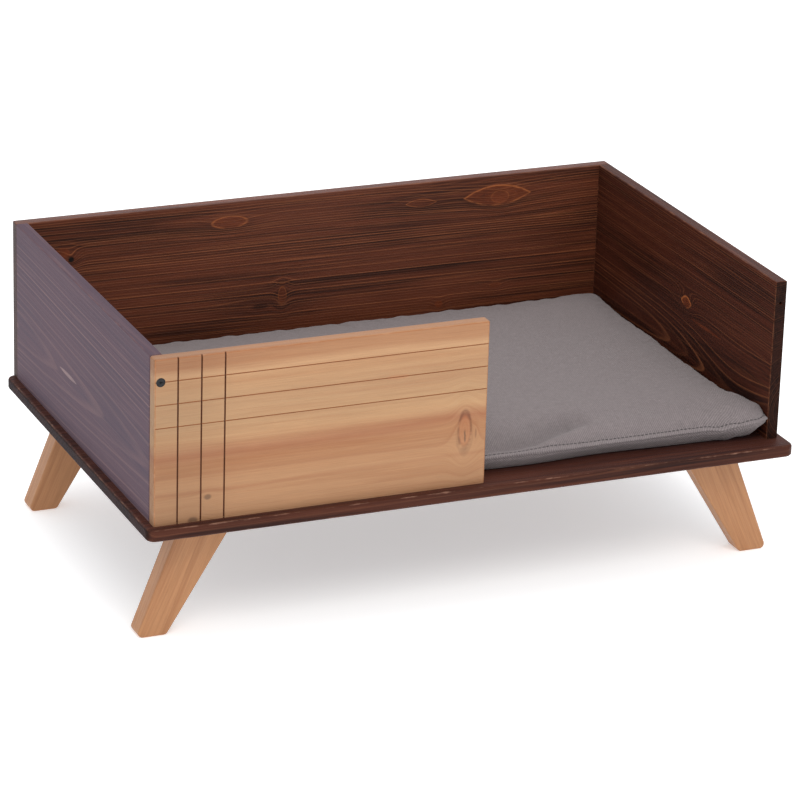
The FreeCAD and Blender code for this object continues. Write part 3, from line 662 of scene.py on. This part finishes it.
COIL_LEAN = 0.3
COIL_THICKNESS = (0.6, 0.95, 0.95, 0.95, 1, 1, 0.7)
# The filling, as shares of the cover's size, and its lumps.
FILLING_SIZE = 0.96
FILLING_HEIGHT = 0.55
LUMPS = (61 * MM, 43 * MM)
LUMP_HEIGHT = 1.2 * MM
LUMP_START = 8 * MM
# The cloth.
TWILL_PITCH = 2.9 * MM
FLOAT_LENGTH = 2.4 * MM
CLOTH_DEEP = srgb(97, 90, 90)
CLOTH_LIGHT = srgb(149, 138, 138)
CLOTH_RELIEF = 0.42 * MM
# How much the painted shade in the crease darkens the cloth.
PAINTED_CREASE_SHADE_STRENGTH = 0.22


def along_arc(reach, rise, power, room):
    """A quarter arch from the seam to a flat stretch that ends room away from the seam.

    Gives its length, and functions from a distance along it to the inset and the rise.
    """
    angles = np.linspace(0, math.pi / 2, ARC_POINTS)
    inset = reach * (1 - np.cos(angles) ** (2 / power))
    height = rise * np.sin(angles) ** (2 / power)
    inset = np.append(inset, room)
    height = np.append(height, rise)
    steps = np.hypot(np.diff(inset), np.diff(height))
    walked = np.concatenate([[0], np.cumsum(steps)])
    return walked[-1], lambda at: np.interp(at, walked, inset), lambda at: np.interp(at, walked, height)


class Cushion:
    """The cushion's measures, all from its CAD panels."""

    def __init__(self):
        low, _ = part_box("cushion_bottom_panel")
        seam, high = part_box("cushion_top_panel")
        self.half = ((high.x - low.x) / 2, (high.y - low.y) / 2)
        self.centre = ((high.x + low.x) / 2, (high.y + low.y) / 2)
        self.seam = seam.z
        self.low = low.z
        self.high = high.z
        self.panels = {
            1: along_arc(TOP_SHOULDER, self.high - self.seam, TOP_POWER, EDGE_ZONE),
            -1: along_arc(BOTTOM_SHOULDER, self.seam - self.low, BOTTOM_POWER, EDGE_ZONE),
        }

    def lines(self, axis, rows, step):
        """Grid lines across the cushion: close together at the seam, then evenly spaced."""
        inner = self.half[axis] - EDGE_ZONE
        count = int(round(2 * inner / step))
        middle = np.linspace(-inner, inner, count + 1)[1:-1]
        edge = self.half[axis] - np.array(rows) * MM
        return np.concatenate([-edge, middle, edge[::-1]])

    def panel(self, xs, ys, side):
        """Points of one panel, and where each lies on the flat cloth."""
        x, y = np.meshgrid(xs, ys, indexing="ij")
        gap_x = self.half[0] - abs(x)
        gap_y = self.half[1] - abs(y)
        ring = np.minimum(gap_x, gap_y)
        far = np.maximum(gap_x, gap_y)
        length, inset_at, rise_at = self.panels[side]
        cloth = np.minimum(ring, EDGE_ZONE) * length / EDGE_ZONE
        inset = np.where(ring < EDGE_ZONE, inset_at(cloth), ring)
        radius = np.maximum(CORNER_RADIUS - inset, 0)
        arc = radius * math.pi / 4
        leg = EDGE_ZONE - inset - radius + arc
        share = np.clip((far - ring) / np.maximum(EDGE_ZONE - ring, 1e-9), 0, 1)
        walk = share * leg
        angle = math.pi / 4 - walk / np.maximum(radius, 1e-9)
        on_arc = walk < arc
        aside = inset + np.where(on_arc, radius * (1 - np.cos(angle)), 0)
        ahead = inset + np.where(on_arc, radius * (1 - np.sin(angle)), radius + walk - arc)
        in_zone = (far < EDGE_ZONE) & (ring < EDGE_ZONE)
        aside = np.where(in_zone, aside, inset)
        ahead = np.where(in_zone, ahead, far)
        by_x = gap_x < gap_y
        px = np.sign(x) * (self.half[0] - np.where(by_x, aside, ahead))
        py = np.sign(y) * (self.half[1] - np.where(by_x, ahead, aside))
        pz = self.seam + side * rise_at(cloth)
        flat = []
        for value, gap in ((x, gap_x), (y, gap_y)):
            extra = np.maximum(EDGE_ZONE - gap, 0) * (length / EDGE_ZONE - 1)
            flat.append(np.sign(value) * (abs(value) + extra))
        return np.stack([px, py, pz], -1), np.stack(flat, -1)


def rim(grid):
    """The four edges of a grid, for indexing."""
    return ((0, slice(None)), (-1, slice(None)), (slice(None), 0), (slice(None), -1))


def link(name, points, faces):
    """A smooth-shaded mesh object, in the scene."""
    mesh = bpy.data.meshes.new(name)
    mesh.from_pydata(points, [], faces)
    mesh.polygons.foreach_set("use_smooth", [True] * len(mesh.polygons))
    mesh.update()
    thing = bpy.data.objects.new(name, mesh)
    bpy.context.scene.collection.objects.link(thing)
    return thing


def sew(name, points, flats):
    """One closed mesh from a top (1) and a bottom (-1) panel of points that share their rim.

    Gives the object and, for each of its points, the place it came from in the two panels.
    """
    rows, columns = points[1].shape[:2]
    upper = np.arange(rows * columns).reshape(rows, columns)
    lower = upper + rows * columns
    faces = np.concatenate([
        np.stack([upper[:-1, :-1], upper[1:, :-1], upper[1:, 1:], upper[:-1, 1:]], -1).reshape(-1, 4),
        np.stack([lower[:-1, :-1], lower[:-1, 1:], lower[1:, 1:], lower[1:, :-1]], -1).reshape(-1, 4),
    ])
    merged = np.arange(2 * rows * columns)
    for edge in rim(upper):
        merged[lower[edge]] = upper[edge]
    used, sewn = np.unique(merged[faces], return_inverse=True)
    spots = np.concatenate([points[side].reshape(-1, 3) for side in (1, -1)])
    thing = link(name, spots[used].tolist(), sewn.reshape(-1, 4).tolist())
    cloth = np.concatenate([flats[side].reshape(-1, 2) for side in (1, -1)])[faces.ravel()]
    cloth = np.append(cloth, np.zeros((len(cloth), 1)), axis=1).astype(np.float32)
    thing.data.attributes.new("cloth", "FLOAT_VECTOR", "CORNER").data.foreach_set("vector", cloth.ravel())
    return thing, used


def swell(cushion, xs, ys):
    """How far the filling pushes each point of the two panels out, by cloth simulation."""
    panels = {side: cushion.panel(xs, ys, side) for side in (1, -1)}
    moves = {side: np.zeros_like(panels[side][0]) for side in (1, -1)}
    bag, used = sew("bag", *({side: panels[side][part] for side in panels} for part in (0, 1)))
    cloth = bag.modifiers.new("cloth", "CLOTH").settings
    cloth.use_pressure = True
    cloth.uniform_pressure_force = SIM_PRESSURE
    cloth.effector_weights.gravity = 0
    cloth.quality = 6
    cloth.tension_stiffness = 12
    cloth.compression_stiffness = 12
    cloth.bending_stiffness = 0.3
    cloth.shrink_min = -0.012
    scene = bpy.context.scene
    for number in range(1, SIM_FRAMES + 1):
        scene.frame_set(number)
    done = bag.evaluated_get(bpy.context.evaluated_depsgraph_get())
    after = np.array([v.co for v in done.data.vertices])
    before = np.array([v.co for v in bag.data.vertices])
    move = after - before
    reach = np.linalg.norm(move, axis=1, keepdims=True)
    move *= MOST_SWELL * np.tanh(reach / MOST_SWELL) / np.maximum(reach, 1e-9)
    scene.frame_set(1)
    bpy.data.objects.remove(bag)
    count = xs.size * ys.size
    both = np.zeros((2 * count, 3))
    both[used] = move
    for side, start in ((1, 0), (-1, count)):
        moves[side] = evened(both[start:start + count].reshape(xs.size, ys.size, 3))
    for edge in rim(moves[1]):
        moves[1][edge] *= RIM_SWELL
        moves[-1][edge] = moves[1][edge]
    return moves


def evened(values):
    """Values on a grid, smoothed along both of its directions."""
    for axis in (0, 1):
        padded = np.concatenate([values.take([0], axis), values, values.take([-1], axis)], axis)
        count = values.shape[axis]
        parts = [padded.take(range(start, start + count), axis) for start in (0, 1, 2)]
        values = parts[0] * 0.25 + parts[1] * 0.5 + parts[2] * 0.25
    return values


def cubic_weights(coarse, fine):
    """A matrix that reads values given at coarse places smoothly at fine ones."""
    weights = np.zeros((fine.size, coarse.size))
    for row, at in enumerate(fine):
        cell = min(max(np.searchsorted(coarse, at) - 1, 0), coarse.size - 2)
        span = coarse[cell + 1] - coarse[cell]
        t = (at - coarse[cell]) / span
        weights[row, cell] += 2 * t ** 3 - 3 * t ** 2 + 1
        weights[row, cell + 1] += 3 * t ** 2 - 2 * t ** 3
        for node, share in ((cell, t ** 3 - 2 * t ** 2 + t), (cell + 1, t ** 3 - t ** 2)):
            left = max(node - 1, 0)
            right = min(node + 1, coarse.size - 1)
            slope = share * span / (coarse[right] - coarse[left])
            weights[row, right] += slope
            weights[row, left] -= slope
    return weights


def hill(distance, width):
    """A smooth bump: 1 at no distance, near 0 beyond width."""
    return np.exp(-2 * (distance / width) ** 2)


def ease(value, low, high):
    """A smooth step from 0 at low to 1 at high."""
    t = np.clip((value - low) / (high - low), 0, 1)
    return t * t * (3 - 2 * t)


def ripples(along, phase, lengths):
    """The mean of waves of these lengths, from -1 to 1."""
    waves = (np.sin(TURN * along / length + phase + WAVE_SHIFT * n) for n, length in enumerate(lengths))
    return sum(waves) / len(lengths)


def settle(cushion, points, xs, ys, side):
    """Gives a panel the shape of a used cushion: wavy edges, a drawn-out corner and a crease.

    lift is 0 where the cushion lies on the base board and 1 from the seam upwards.
    """
    x, y = np.meshgrid(xs, ys, indexing="ij")
    half_x, half_y = cushion.half
    near_x = hill(half_x - abs(x), EDGE_REACH)
    near_y = hill(half_y - abs(y), EDGE_REACH)
    lift = ease(points[..., 2], cushion.low, cushion.seam)
    plain = 1 - zip_share(cushion, points)
    out_x = near_x * ripples(y, 0.4 * np.sign(x), EDGE_WAVES) * EDGE_SWAY
    out_y = near_y * ripples(x, 1.7 * np.sign(y), EDGE_WAVES) * EDGE_SWAY
    loose = LOWER_SWAY + (1 - LOWER_SWAY) * lift
    points[..., 0] += np.sign(x) * out_x * loose
    points[..., 1] += np.sign(y) * out_y * loose * plain
    crest_x = hill(half_x - abs(x) - CREST, CREST)
    crest_y = hill(half_y - abs(y) - CREST, CREST)
    rise = crest_x * ripples(y, 2.2 + np.sign(x), CREST_WAVES)
    rise += crest_y * ripples(x, 3.9 * np.sign(y), CREST_WAVES)
    points[..., 2] += rise * CREST_SWAY * lift
    front = near_y * (y < 0)
    sway = 1 + FRONT_SWAY * np.sin((x - FRONT_DIP) * TURN / FRONT_WAVE - math.pi / 2) * (1 - lift)
    points[..., 1] -= front * FRONT_BULGE * (LOWER_BULGE + (1 - LOWER_BULGE) * lift) * sway
    points[..., 2] -= front * FRONT_SAG * lift
    corner = (1 - ease(np.hypot(x - half_x, y + half_y), EAR_CORE, EAR_REACH)) * (0.8 + 0.2 * lift)
    above = np.maximum(points[..., 2] - cushion.seam, 0) / (cushion.high - cushion.seam)
    upward = corner ** EAR_RISE_POWER * (1 - EAR_BLUNT * above)
    for axis, share in enumerate((corner, corner, upward)):
        points[..., axis] += share * EAR_PULL[axis]
    fold = np.sin((x - half_x + y + half_y) * TURN / EAR_FOLD)
    points[..., 2] += fold * corner * (1 - corner) * 4 * EAR_FOLD_DEPTH
    for other_x, other_y in ((-1, -1), (-1, 1), (1, 1)):
        corner = hill(np.hypot(x - other_x * half_x, y - other_y * half_y), SMALL_EAR_REACH) * lift
        points += corner[..., None] * np.array((other_x, other_y, 1)) * SMALL_EAR
    if side > 0:
        points[..., 2] += crease(x, y)
    points[..., 2] = np.maximum(points[..., 2], cushion.low)
    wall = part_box("right_side_board")[0]
    inside = ease(points[..., 1] + cushion.centre[1], wall.y - 3 * MM, wall.y + 1 * MM)
    room = wall.x + (1 - inside) * 2 * MM - WALL_GAP - cushion.centre[0]
    points[..., 0] -= np.maximum(points[..., 0] - room, 0)


def crease(x, y):
    """The height of the fold near the front: a short steep side to the back, a low roll before it."""
    start = np.array(CREASE[0])
    way = np.array(CREASE[1]) - start
    length = np.hypot(*way)
    share = ((x - start[0]) * way[0] + (y - start[1]) * way[1]) / length ** 2
    behind = ((y - start[1]) * way[0] - (x - start[0]) * way[1]) / length
    behind = behind + CREASE_BEND * np.sin(share * 5)
    fade = ease(share, *CREASE_START) * (1 - ease(share, *CREASE_END))
    dip = np.where(behind > 0, hill(behind, CREASE_BACK), hill(behind, CREASE_WIDTH))
    roll = hill(behind + 1.2 * CREASE_WIDTH, 1.2 * CREASE_WIDTH)
    return fade * (CREASE_ROLL * roll - CREASE_DEPTH * dip)


def zip_share(cushion, points):
    """1 where the zip lies along the back edge, falling to 0 round it."""
    low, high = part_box("zip_tapes")
    half = (high.z - low.z) / 2
    beside = 1 - ease(abs(points[..., 0] + cushion.centre[0]), high.x, high.x + 15 * MM)
    level = 1 - ease(abs(points[..., 2] - cushion.seam), half, half + 4 * MM)
    behind = ease(points[..., 1], cushion.half[1] - 14 * MM, cushion.half[1] - 10 * MM)
    return beside * level * behind


def flatten_for_zip(cushion, points):
    """Draws the cover flat under the zip's tapes."""
    share = zip_share(cushion, points)
    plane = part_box("zip_tapes")[0].y - TAPE_SINK - cushion.centre[1]
    points[..., 1] += share * (plane - points[..., 1])


def facing(points, side):
    """The outward direction at each point of a panel."""
    normal = np.cross(np.gradient(points, axis=0), np.gradient(points, axis=1)) * side
    return normal / np.maximum(np.linalg.norm(normal, axis=-1, keepdims=True), 1e-12)


def raise_seam(cushion, points, xs, ys):
    """Adds the ridge of the sewn seam and the groove that the stitches pull in above it."""
    normals = {side: facing(points[side], side) for side in (1, -1)}
    for edge in rim(points[1]):
        shared = normals[1][edge] + normals[-1][edge]
        shared /= np.linalg.norm(shared, axis=-1, keepdims=True)
        normals[1][edge] = normals[-1][edge] = shared
    x, y = np.meshgrid(xs, ys, indexing="ij")
    ring = np.minimum(cushion.half[0] - abs(x), cushion.half[1] - abs(y))
    for side in (1, -1):
        length = cushion.panels[side][0]
        away = ring * length / EDGE_ZONE
        ridge = SEAM_RIDGE * hill(away, RIDGE_WIDTH)
        groove_at = SEAM_ROWS[STITCH_ROW] * MM * length / EDGE_ZONE if side > 0 else LOWER_GROOVE_AT
        groove = SEAM_GROOVE * hill(away - groove_at, GROOVE_WIDTH)
        pucker = PUCKER_HEIGHT * hill(away, PUCKER_REACH) * ripples(x + y, 0.0, PUCKERS)
        relief = (ridge - groove + pucker) * (1 - zip_share(cushion, points[side]))
        points[side] += normals[side] * relief[..., None]
    return normals


def loop_of(grid, row):
    """The closed line of a grid's points that run round it, row lines in from its rim."""
    last = -1 - row
    inner = slice(row, grid.shape[0] - row - 1)
    outer = slice(row, grid.shape[1] - row - 1)
    sides = [grid[inner, row], grid[last, outer], grid[::-1][inner, last], grid[row, ::-1][outer]]
    return np.concatenate(sides)


def threads(name, paths, outward, radii, sides):
    """One mesh of closed round threads.

    paths is threads x points x 3, outward a direction for each thread, radii one for each point.
    """
    ahead = np.gradient(paths, axis=1)
    aside = np.cross(ahead, outward[:, None])
    aside /= np.linalg.norm(aside, axis=-1, keepdims=True)
    up = np.cross(aside, ahead)
    up /= np.linalg.norm(up, axis=-1, keepdims=True)
    turns = np.arange(sides) * TURN / sides
    around = up[:, :, None] * np.cos(turns)[:, None] + aside[:, :, None] * np.sin(turns)[:, None]
    spots = paths[:, :, None] + around * np.array(radii)[:, None, None]
    count, rings = paths.shape[:2]
    faces = []
    for ring in range(rings - 1):
        for turn in range(sides):
            corner = ring * sides + turn
            beside = ring * sides + (turn + 1) % sides
            faces.append((corner, beside, beside + sides, corner + sides))
    size = rings * sides
    every = np.array(faces)[None] + np.arange(count)[:, None, None] * size
    caps = np.array([range(sides - 1, -1, -1), range(size - sides, size)])
    ends = caps[None] + np.arange(count)[:, None, None] * size
    flat = every.reshape(-1, 4).tolist() + ends.reshape(-1, sides).tolist()
    return link(name, spots.reshape(-1, 3).tolist(), flat)


def stitch_paths(line, out):
    """Short threads, one after another, along a line of points, and the way out at each."""
    walked = np.concatenate([[0], np.cumsum(np.linalg.norm(np.diff(line, axis=0), axis=1))])
    count = int(walked[-1] / STITCH_PITCH)
    middles = (np.arange(count) + 0.5) * walked[-1] / count

    def read(values, at):
        return np.stack([np.interp(at, walked, values[:, axis]) for axis in range(3)], -1)

    up = read(out, middles)
    up /= np.linalg.norm(up, axis=1, keepdims=True)
    spots = [read(line, middles + share * STITCH_LENGTH) for share in STITCH_SHARES]
    return np.stack(spots, 1) + up[:, None] * np.array(STITCH_RISE)[None, :, None], up


def make_stitches(cushion, points, normals):
    """The stitches above the seam, and the two rows that hold the zip's tapes."""
    line = loop_of(points[1], STITCH_ROW)
    out = loop_of(normals[1], STITCH_ROW)
    paths, up = stitch_paths(np.concatenate([line, line[:1]]), np.concatenate([out, out[:1]]))
    kept = zip_share(cushion, paths[:, 2]) < 0.5
    paths, up = [paths[kept]], [up[kept]]
    low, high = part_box("zip_tapes")
    for level in (low.z + TAPE_MARGIN, high.z - TAPE_MARGIN):
        ends = ((low.x + 2 * MM, high.y, level), (high.x - 2 * MM, high.y, level))
        row = np.array(ends) - (*cushion.centre, 0)
        more, way = stitch_paths(row, np.array(((0, 1, 0), (0, 1, 0))))
        paths.append(more)
        up.append(way)
    radii = [THREAD_RADIUS * share for share in (0.4, 1, 1, 1, 0.4)]
    return threads("cushion_stitches", np.concatenate(paths), np.concatenate(up), radii, 5)


def make_zip_coil():
    """The zip's coil: interleaved loops of nylon that lean to and fro."""
    low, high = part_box("zip_chain")
    middle = (low.z + high.z) / 2
    reach = (high.z - low.z) / 2 - COIL_RADIUS
    starts = np.arange(low.x + 2 * COIL_RADIUS, high.x - 2 * COIL_RADIUS, COIL_PITCH)
    flip = np.where(np.arange(starts.size) % 2, -1.0, 1.0)
    paths = []
    for share in np.linspace(0, 1, len(COIL_THICKNESS)):
        across = reach * (-1 + COIL_OVERLAP * share)
        bulge = math.sin(math.pi * min(share * 1.15, 1)) ** 0.6
        lift = (high.y - low.y - 2 * COIL_RADIUS) * bulge
        x = starts + COIL_LEAN * COIL_PITCH * math.sin(TURN * share)
        paths.append(np.stack([x, np.full_like(x, low.y + COIL_RADIUS + lift), middle + flip * across], -1))
    outward = np.tile((1.0, 0.0, 0.0), (starts.size, 1))
    radii = [COIL_RADIUS * share for share in COIL_THICKNESS]
    coil = threads("zip_coil", np.stack(paths, 1), outward, radii, 6)
    coil.data.materials.append(nylon_material())
    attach(coil, "cushion")
    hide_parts("zip_chain")


def nylon_material():
    g = Graph("zip_nylon")
    mottle = g.speckle(g.place(), 700.0, 3.0)
    colour = g.shade(g.mix(mottle * 0.5 + 0.5, srgb(62, 58, 60), srgb(92, 88, 90)), mottle, 0.1)
    g.finish(Base_Color=colour, Roughness=mottle * 0.06 + 0.42, Normal=g.bump(mottle, 0.05 * MM))
    return g.material


def weave_material():
    """Brushed grey cotton twill, which follows the flat pattern of each panel.

    The ribs run on the diagonal and are broken into floats. They show less on level cloth.
    """
    g = Graph("brushed_twill")
    cloth = g.add("Attribute", {}, "Vector", attribute_name="cloth")
    x, y, _ = g.parts(cloth)
    bend = g.noise(x * 30.0, y * 30.0, 0.0) * 0.35
    rib = (x - y) / TWILL_PITCH + bend
    ridge = g.wave(rib * TURN) * 0.5 + 0.5
    number = g.math("FLOOR", rib)
    floats = g.wave((x + y) * (TURN / FLOAT_LENGTH) + number * 2.1) * 0.5 + 0.5
    yarn = g.noise(x * 330.0, y * 330.0, 0.0, 3.0, 0.7)
    streak = g.noise(x * 90.0, y * 420.0, 3.0) + g.noise(x * 420.0, y * 90.0, 9.0)
    cloud = g.noise(x * 22.0, y * 22.0, 5.0, 3.0) * 0.4 + g.noise(x * 90.0, y * 130.0, 2.0, 3.0)
    fuzz = g.noise(x * 1500.0, y * 1500.0, 1.0)
    upright = g.parts(g.add("NewGeometry", {}, "Normal"))[2]
    sharp = 1.0 - g.size(upright) * 0.6
    colour = g.mix((ridge * 0.6 + floats * 0.25 - 0.42) * sharp + 0.42, CLOTH_DEEP, CLOTH_LIGHT)
    colour = g.shade(colour, yarn * 1.1 + streak * 0.5 + cloud * 0.35 + fuzz * 0.3, 0.22)
    # Painted shade: the cloth is darkened in the crease's dip, where the fold's shadow falls.
    crease_shade = g.add("Attribute", {}, "Fac", attribute_name="painted_crease_shade")
    colour = g.shade(colour, crease_shade, -PAINTED_CREASE_SHADE_STRENGTH)
    relief = (ridge * 0.8 + ridge * floats * 0.4) * sharp + yarn * 0.5 + fuzz * 0.15
    g.finish(Base_Color=colour, Roughness=0.92, Normal=g.bump(relief, CLOTH_RELIEF), Sheen_Weight=0.2,
             Sheen_Roughness=0.45, Sheen_Tint=(0.97, 0.94, 0.92), Specular_IOR_Level=0.15)
    return g.material


def filling_material():
    """Loose polyester fibre."""
    g = Graph("polyester_fibre")
    place = g.place()
    strand = g.speckle(place, 300.0, 4.0, 0.75)
    clump = g.speckle(place, 40.0, 3.0)
    colour = g.shade(g.mix(clump * 0.5 + 0.5, srgb(226, 226, 224), srgb(240, 240, 238)), strand, 0.12)
    g.finish(Base_Color=colour, Roughness=strand * 0.04 + 0.93, Normal=g.bump(strand + clump, 0.0008),
             Sheen_Weight=0.15)
    return g.material


def thread_material():
    g = Graph("grey_thread")
    x, y, z = g.place()
    twist = g.wave((x + y + z * 1.5) * (TURN / THREAD_TWIST))
    fuzz = g.speckle((x, y, z), 900.0)
    colour = g.shade(g.mix(twist * 0.25 + 0.5, srgb(52, 48, 48), srgb(84, 78, 78)), fuzz, 0.12)
    g.finish(Base_Color=colour, Roughness=0.8, Normal=g.bump(twist, 0.00012), Sheen_Weight=0.1)
    return g.material


def make_filling(cushion, xs, ys, moves):
    """The bag of loose fibre inside the cover: the same form, a little smaller, and lumpy."""
    points = {}
    flats = {}
    middle = (cushion.seam + cushion.low) / 2
    for side in (1, -1):
        form, flats[side] = cushion.panel(xs, ys, side)
        form += moves[side]
        form[..., :2] *= FILLING_SIZE
        rise = (form[..., 2] - middle) * FILLING_HEIGHT
        lumps = ripples(form[..., 0], 0.0, LUMPS) * ripples(form[..., 1], 1.0, LUMPS)
        form[..., 2] = middle + rise
        form[..., 2] += side * lumps * LUMP_HEIGHT * ease(abs(rise), 0, LUMP_START)
        points[side] = form
    filling, _ = sew("cushion_filling", points, flats)
    filling.data.materials.append(filling_material())
    filling.location = (*cushion.centre, 0)
    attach(filling, "cushion")
    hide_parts("cushion_insert")


def make_cushion():
    cushion = Cushion()
    sim_x = cushion.lines(0, SIM_ROWS, SIM_STEP)
    sim_y = cushion.lines(1, SIM_ROWS, SIM_STEP)
    moves = swell(cushion, sim_x, sim_y)
    xs = cushion.lines(0, SEAM_ROWS, FINE_STEP)
    ys = cushion.lines(1, SEAM_ROWS, FINE_STEP)
    across = cubic_weights(sim_x, xs)
    upward = cubic_weights(sim_y, ys)
    points = {}
    flats = {}
    for side in (1, -1):
        points[side], flats[side] = cushion.panel(xs, ys, side)
        points[side] += np.einsum("ia,abk,jb->ijk", across, moves[side], upward)
        settle(cushion, points[side], xs, ys, side)
        flatten_for_zip(cushion, points[side])
    normals = raise_seam(cushion, points, xs, ys)
    for side in (1, -1):
        points[side][..., 2] = np.maximum(points[side][..., 2], cushion.low)
    cover, used = sew("cushion_cover", points, flats)
    x, y = np.meshgrid(xs, ys, indexing="ij")
    # Painted shade for the crease: 1 where its dip is deepest, 0 away from it.
    painted_crease_shade = np.clip(-crease(x, y) / CREASE_DEPTH, 0, 1).ravel()
    both = np.concatenate([painted_crease_shade, np.zeros_like(painted_crease_shade)])[used].astype(np.float32)
    cover.data.attributes.new("painted_crease_shade", "FLOAT", "POINT").data.foreach_set("value", both)
    cover.data.materials.append(weave_material())
    stitches = make_stitches(cushion, points, normals)
    stitches.data.materials.append(thread_material())
    for piece in (cover, stitches):
        piece.location = (*cushion.centre, 0)
        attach(piece, "cushion")
    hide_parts("cushion_top_panel", "cushion_bottom_panel")
    make_filling(cushion, sim_x, sim_y, moves)


make_cushion()
make_zip_coil()


# ---- Floor, light and camera
def make_floor():
    reach = 30.0
    corners = [(-reach, -reach, 0), (reach, -reach, 0), (reach, reach, 0), (-reach, reach, 0)]
    floor = link("floor", corners, [(0, 1, 2, 3)])
    g = Graph("floor")
    g.finish(Base_Color=(0.92, 0.92, 0.92), Roughness=0.9, Emission_Color=(1.0, 1.0, 1.0),
             Emission_Strength=0.4)
    floor.data.materials.append(g.material)


def make_light(name, place, aim, width, height, power, colour):
    lamp = bpy.data.lights.new(name, "AREA")
    lamp.shape = "RECTANGLE"
    lamp.size = width
    lamp.size_y = height
    lamp.energy = power
    lamp.color = colour
    light = bpy.data.objects.new(name, lamp)
    light.location = place
    light.rotation_euler = (Vector(aim) - Vector(place)).to_track_quat("-Z", "Y").to_euler()
    bpy.context.scene.collection.objects.link(light)


def make_studio():
    world = bpy.data.worlds.new("studio")
    world.use_nodes = True
    sky = world.node_tree.nodes["Background"]
    sky.inputs["Color"].default_value = (0.95, 0.97, 1.0, 1)
    sky.inputs["Strength"].default_value = 0.9
    scene = bpy.context.scene
    scene.world = world
    scene.view_settings.view_transform = "Standard"
    make_light("key", (-0.6, -2.6, 3.4), (0, 0, 0.2), 2.6, 1.8, 52, (1.0, 0.97, 0.93))
    make_light("top", (0.4, 0.6, 3.6), (0, 0, 0.2), 2.4, 2.4, 30, (1.0, 0.98, 0.96))


CAMERA_PLACE = Vector((-1.7640, -4.0708, 1.8562))
CAMERA_YAW = 23.51
CAMERA_PITCH = 20.86
CAMERA_ROLL = 1.72
CAMERA_LENS = 175.8


def make_camera():
    data = bpy.data.cameras.new("camera")
    data.lens = CAMERA_LENS
    data.clip_start = 0.1
    camera = bpy.data.objects.new("camera", data)
    yaw = Matrix.Rotation(-math.radians(CAMERA_YAW), 4, "Z")
    pitch = Matrix.Rotation(math.radians(90 - CAMERA_PITCH), 4, "X")
    roll = Matrix.Rotation(math.radians(CAMERA_ROLL), 4, "Z")
    camera.matrix_world = Matrix.Translation(CAMERA_PLACE) @ yaw @ pitch @ roll
    bpy.context.scene.collection.objects.link(camera)
    bpy.context.scene.camera = camera


make_floor()
make_studio()
make_camera()
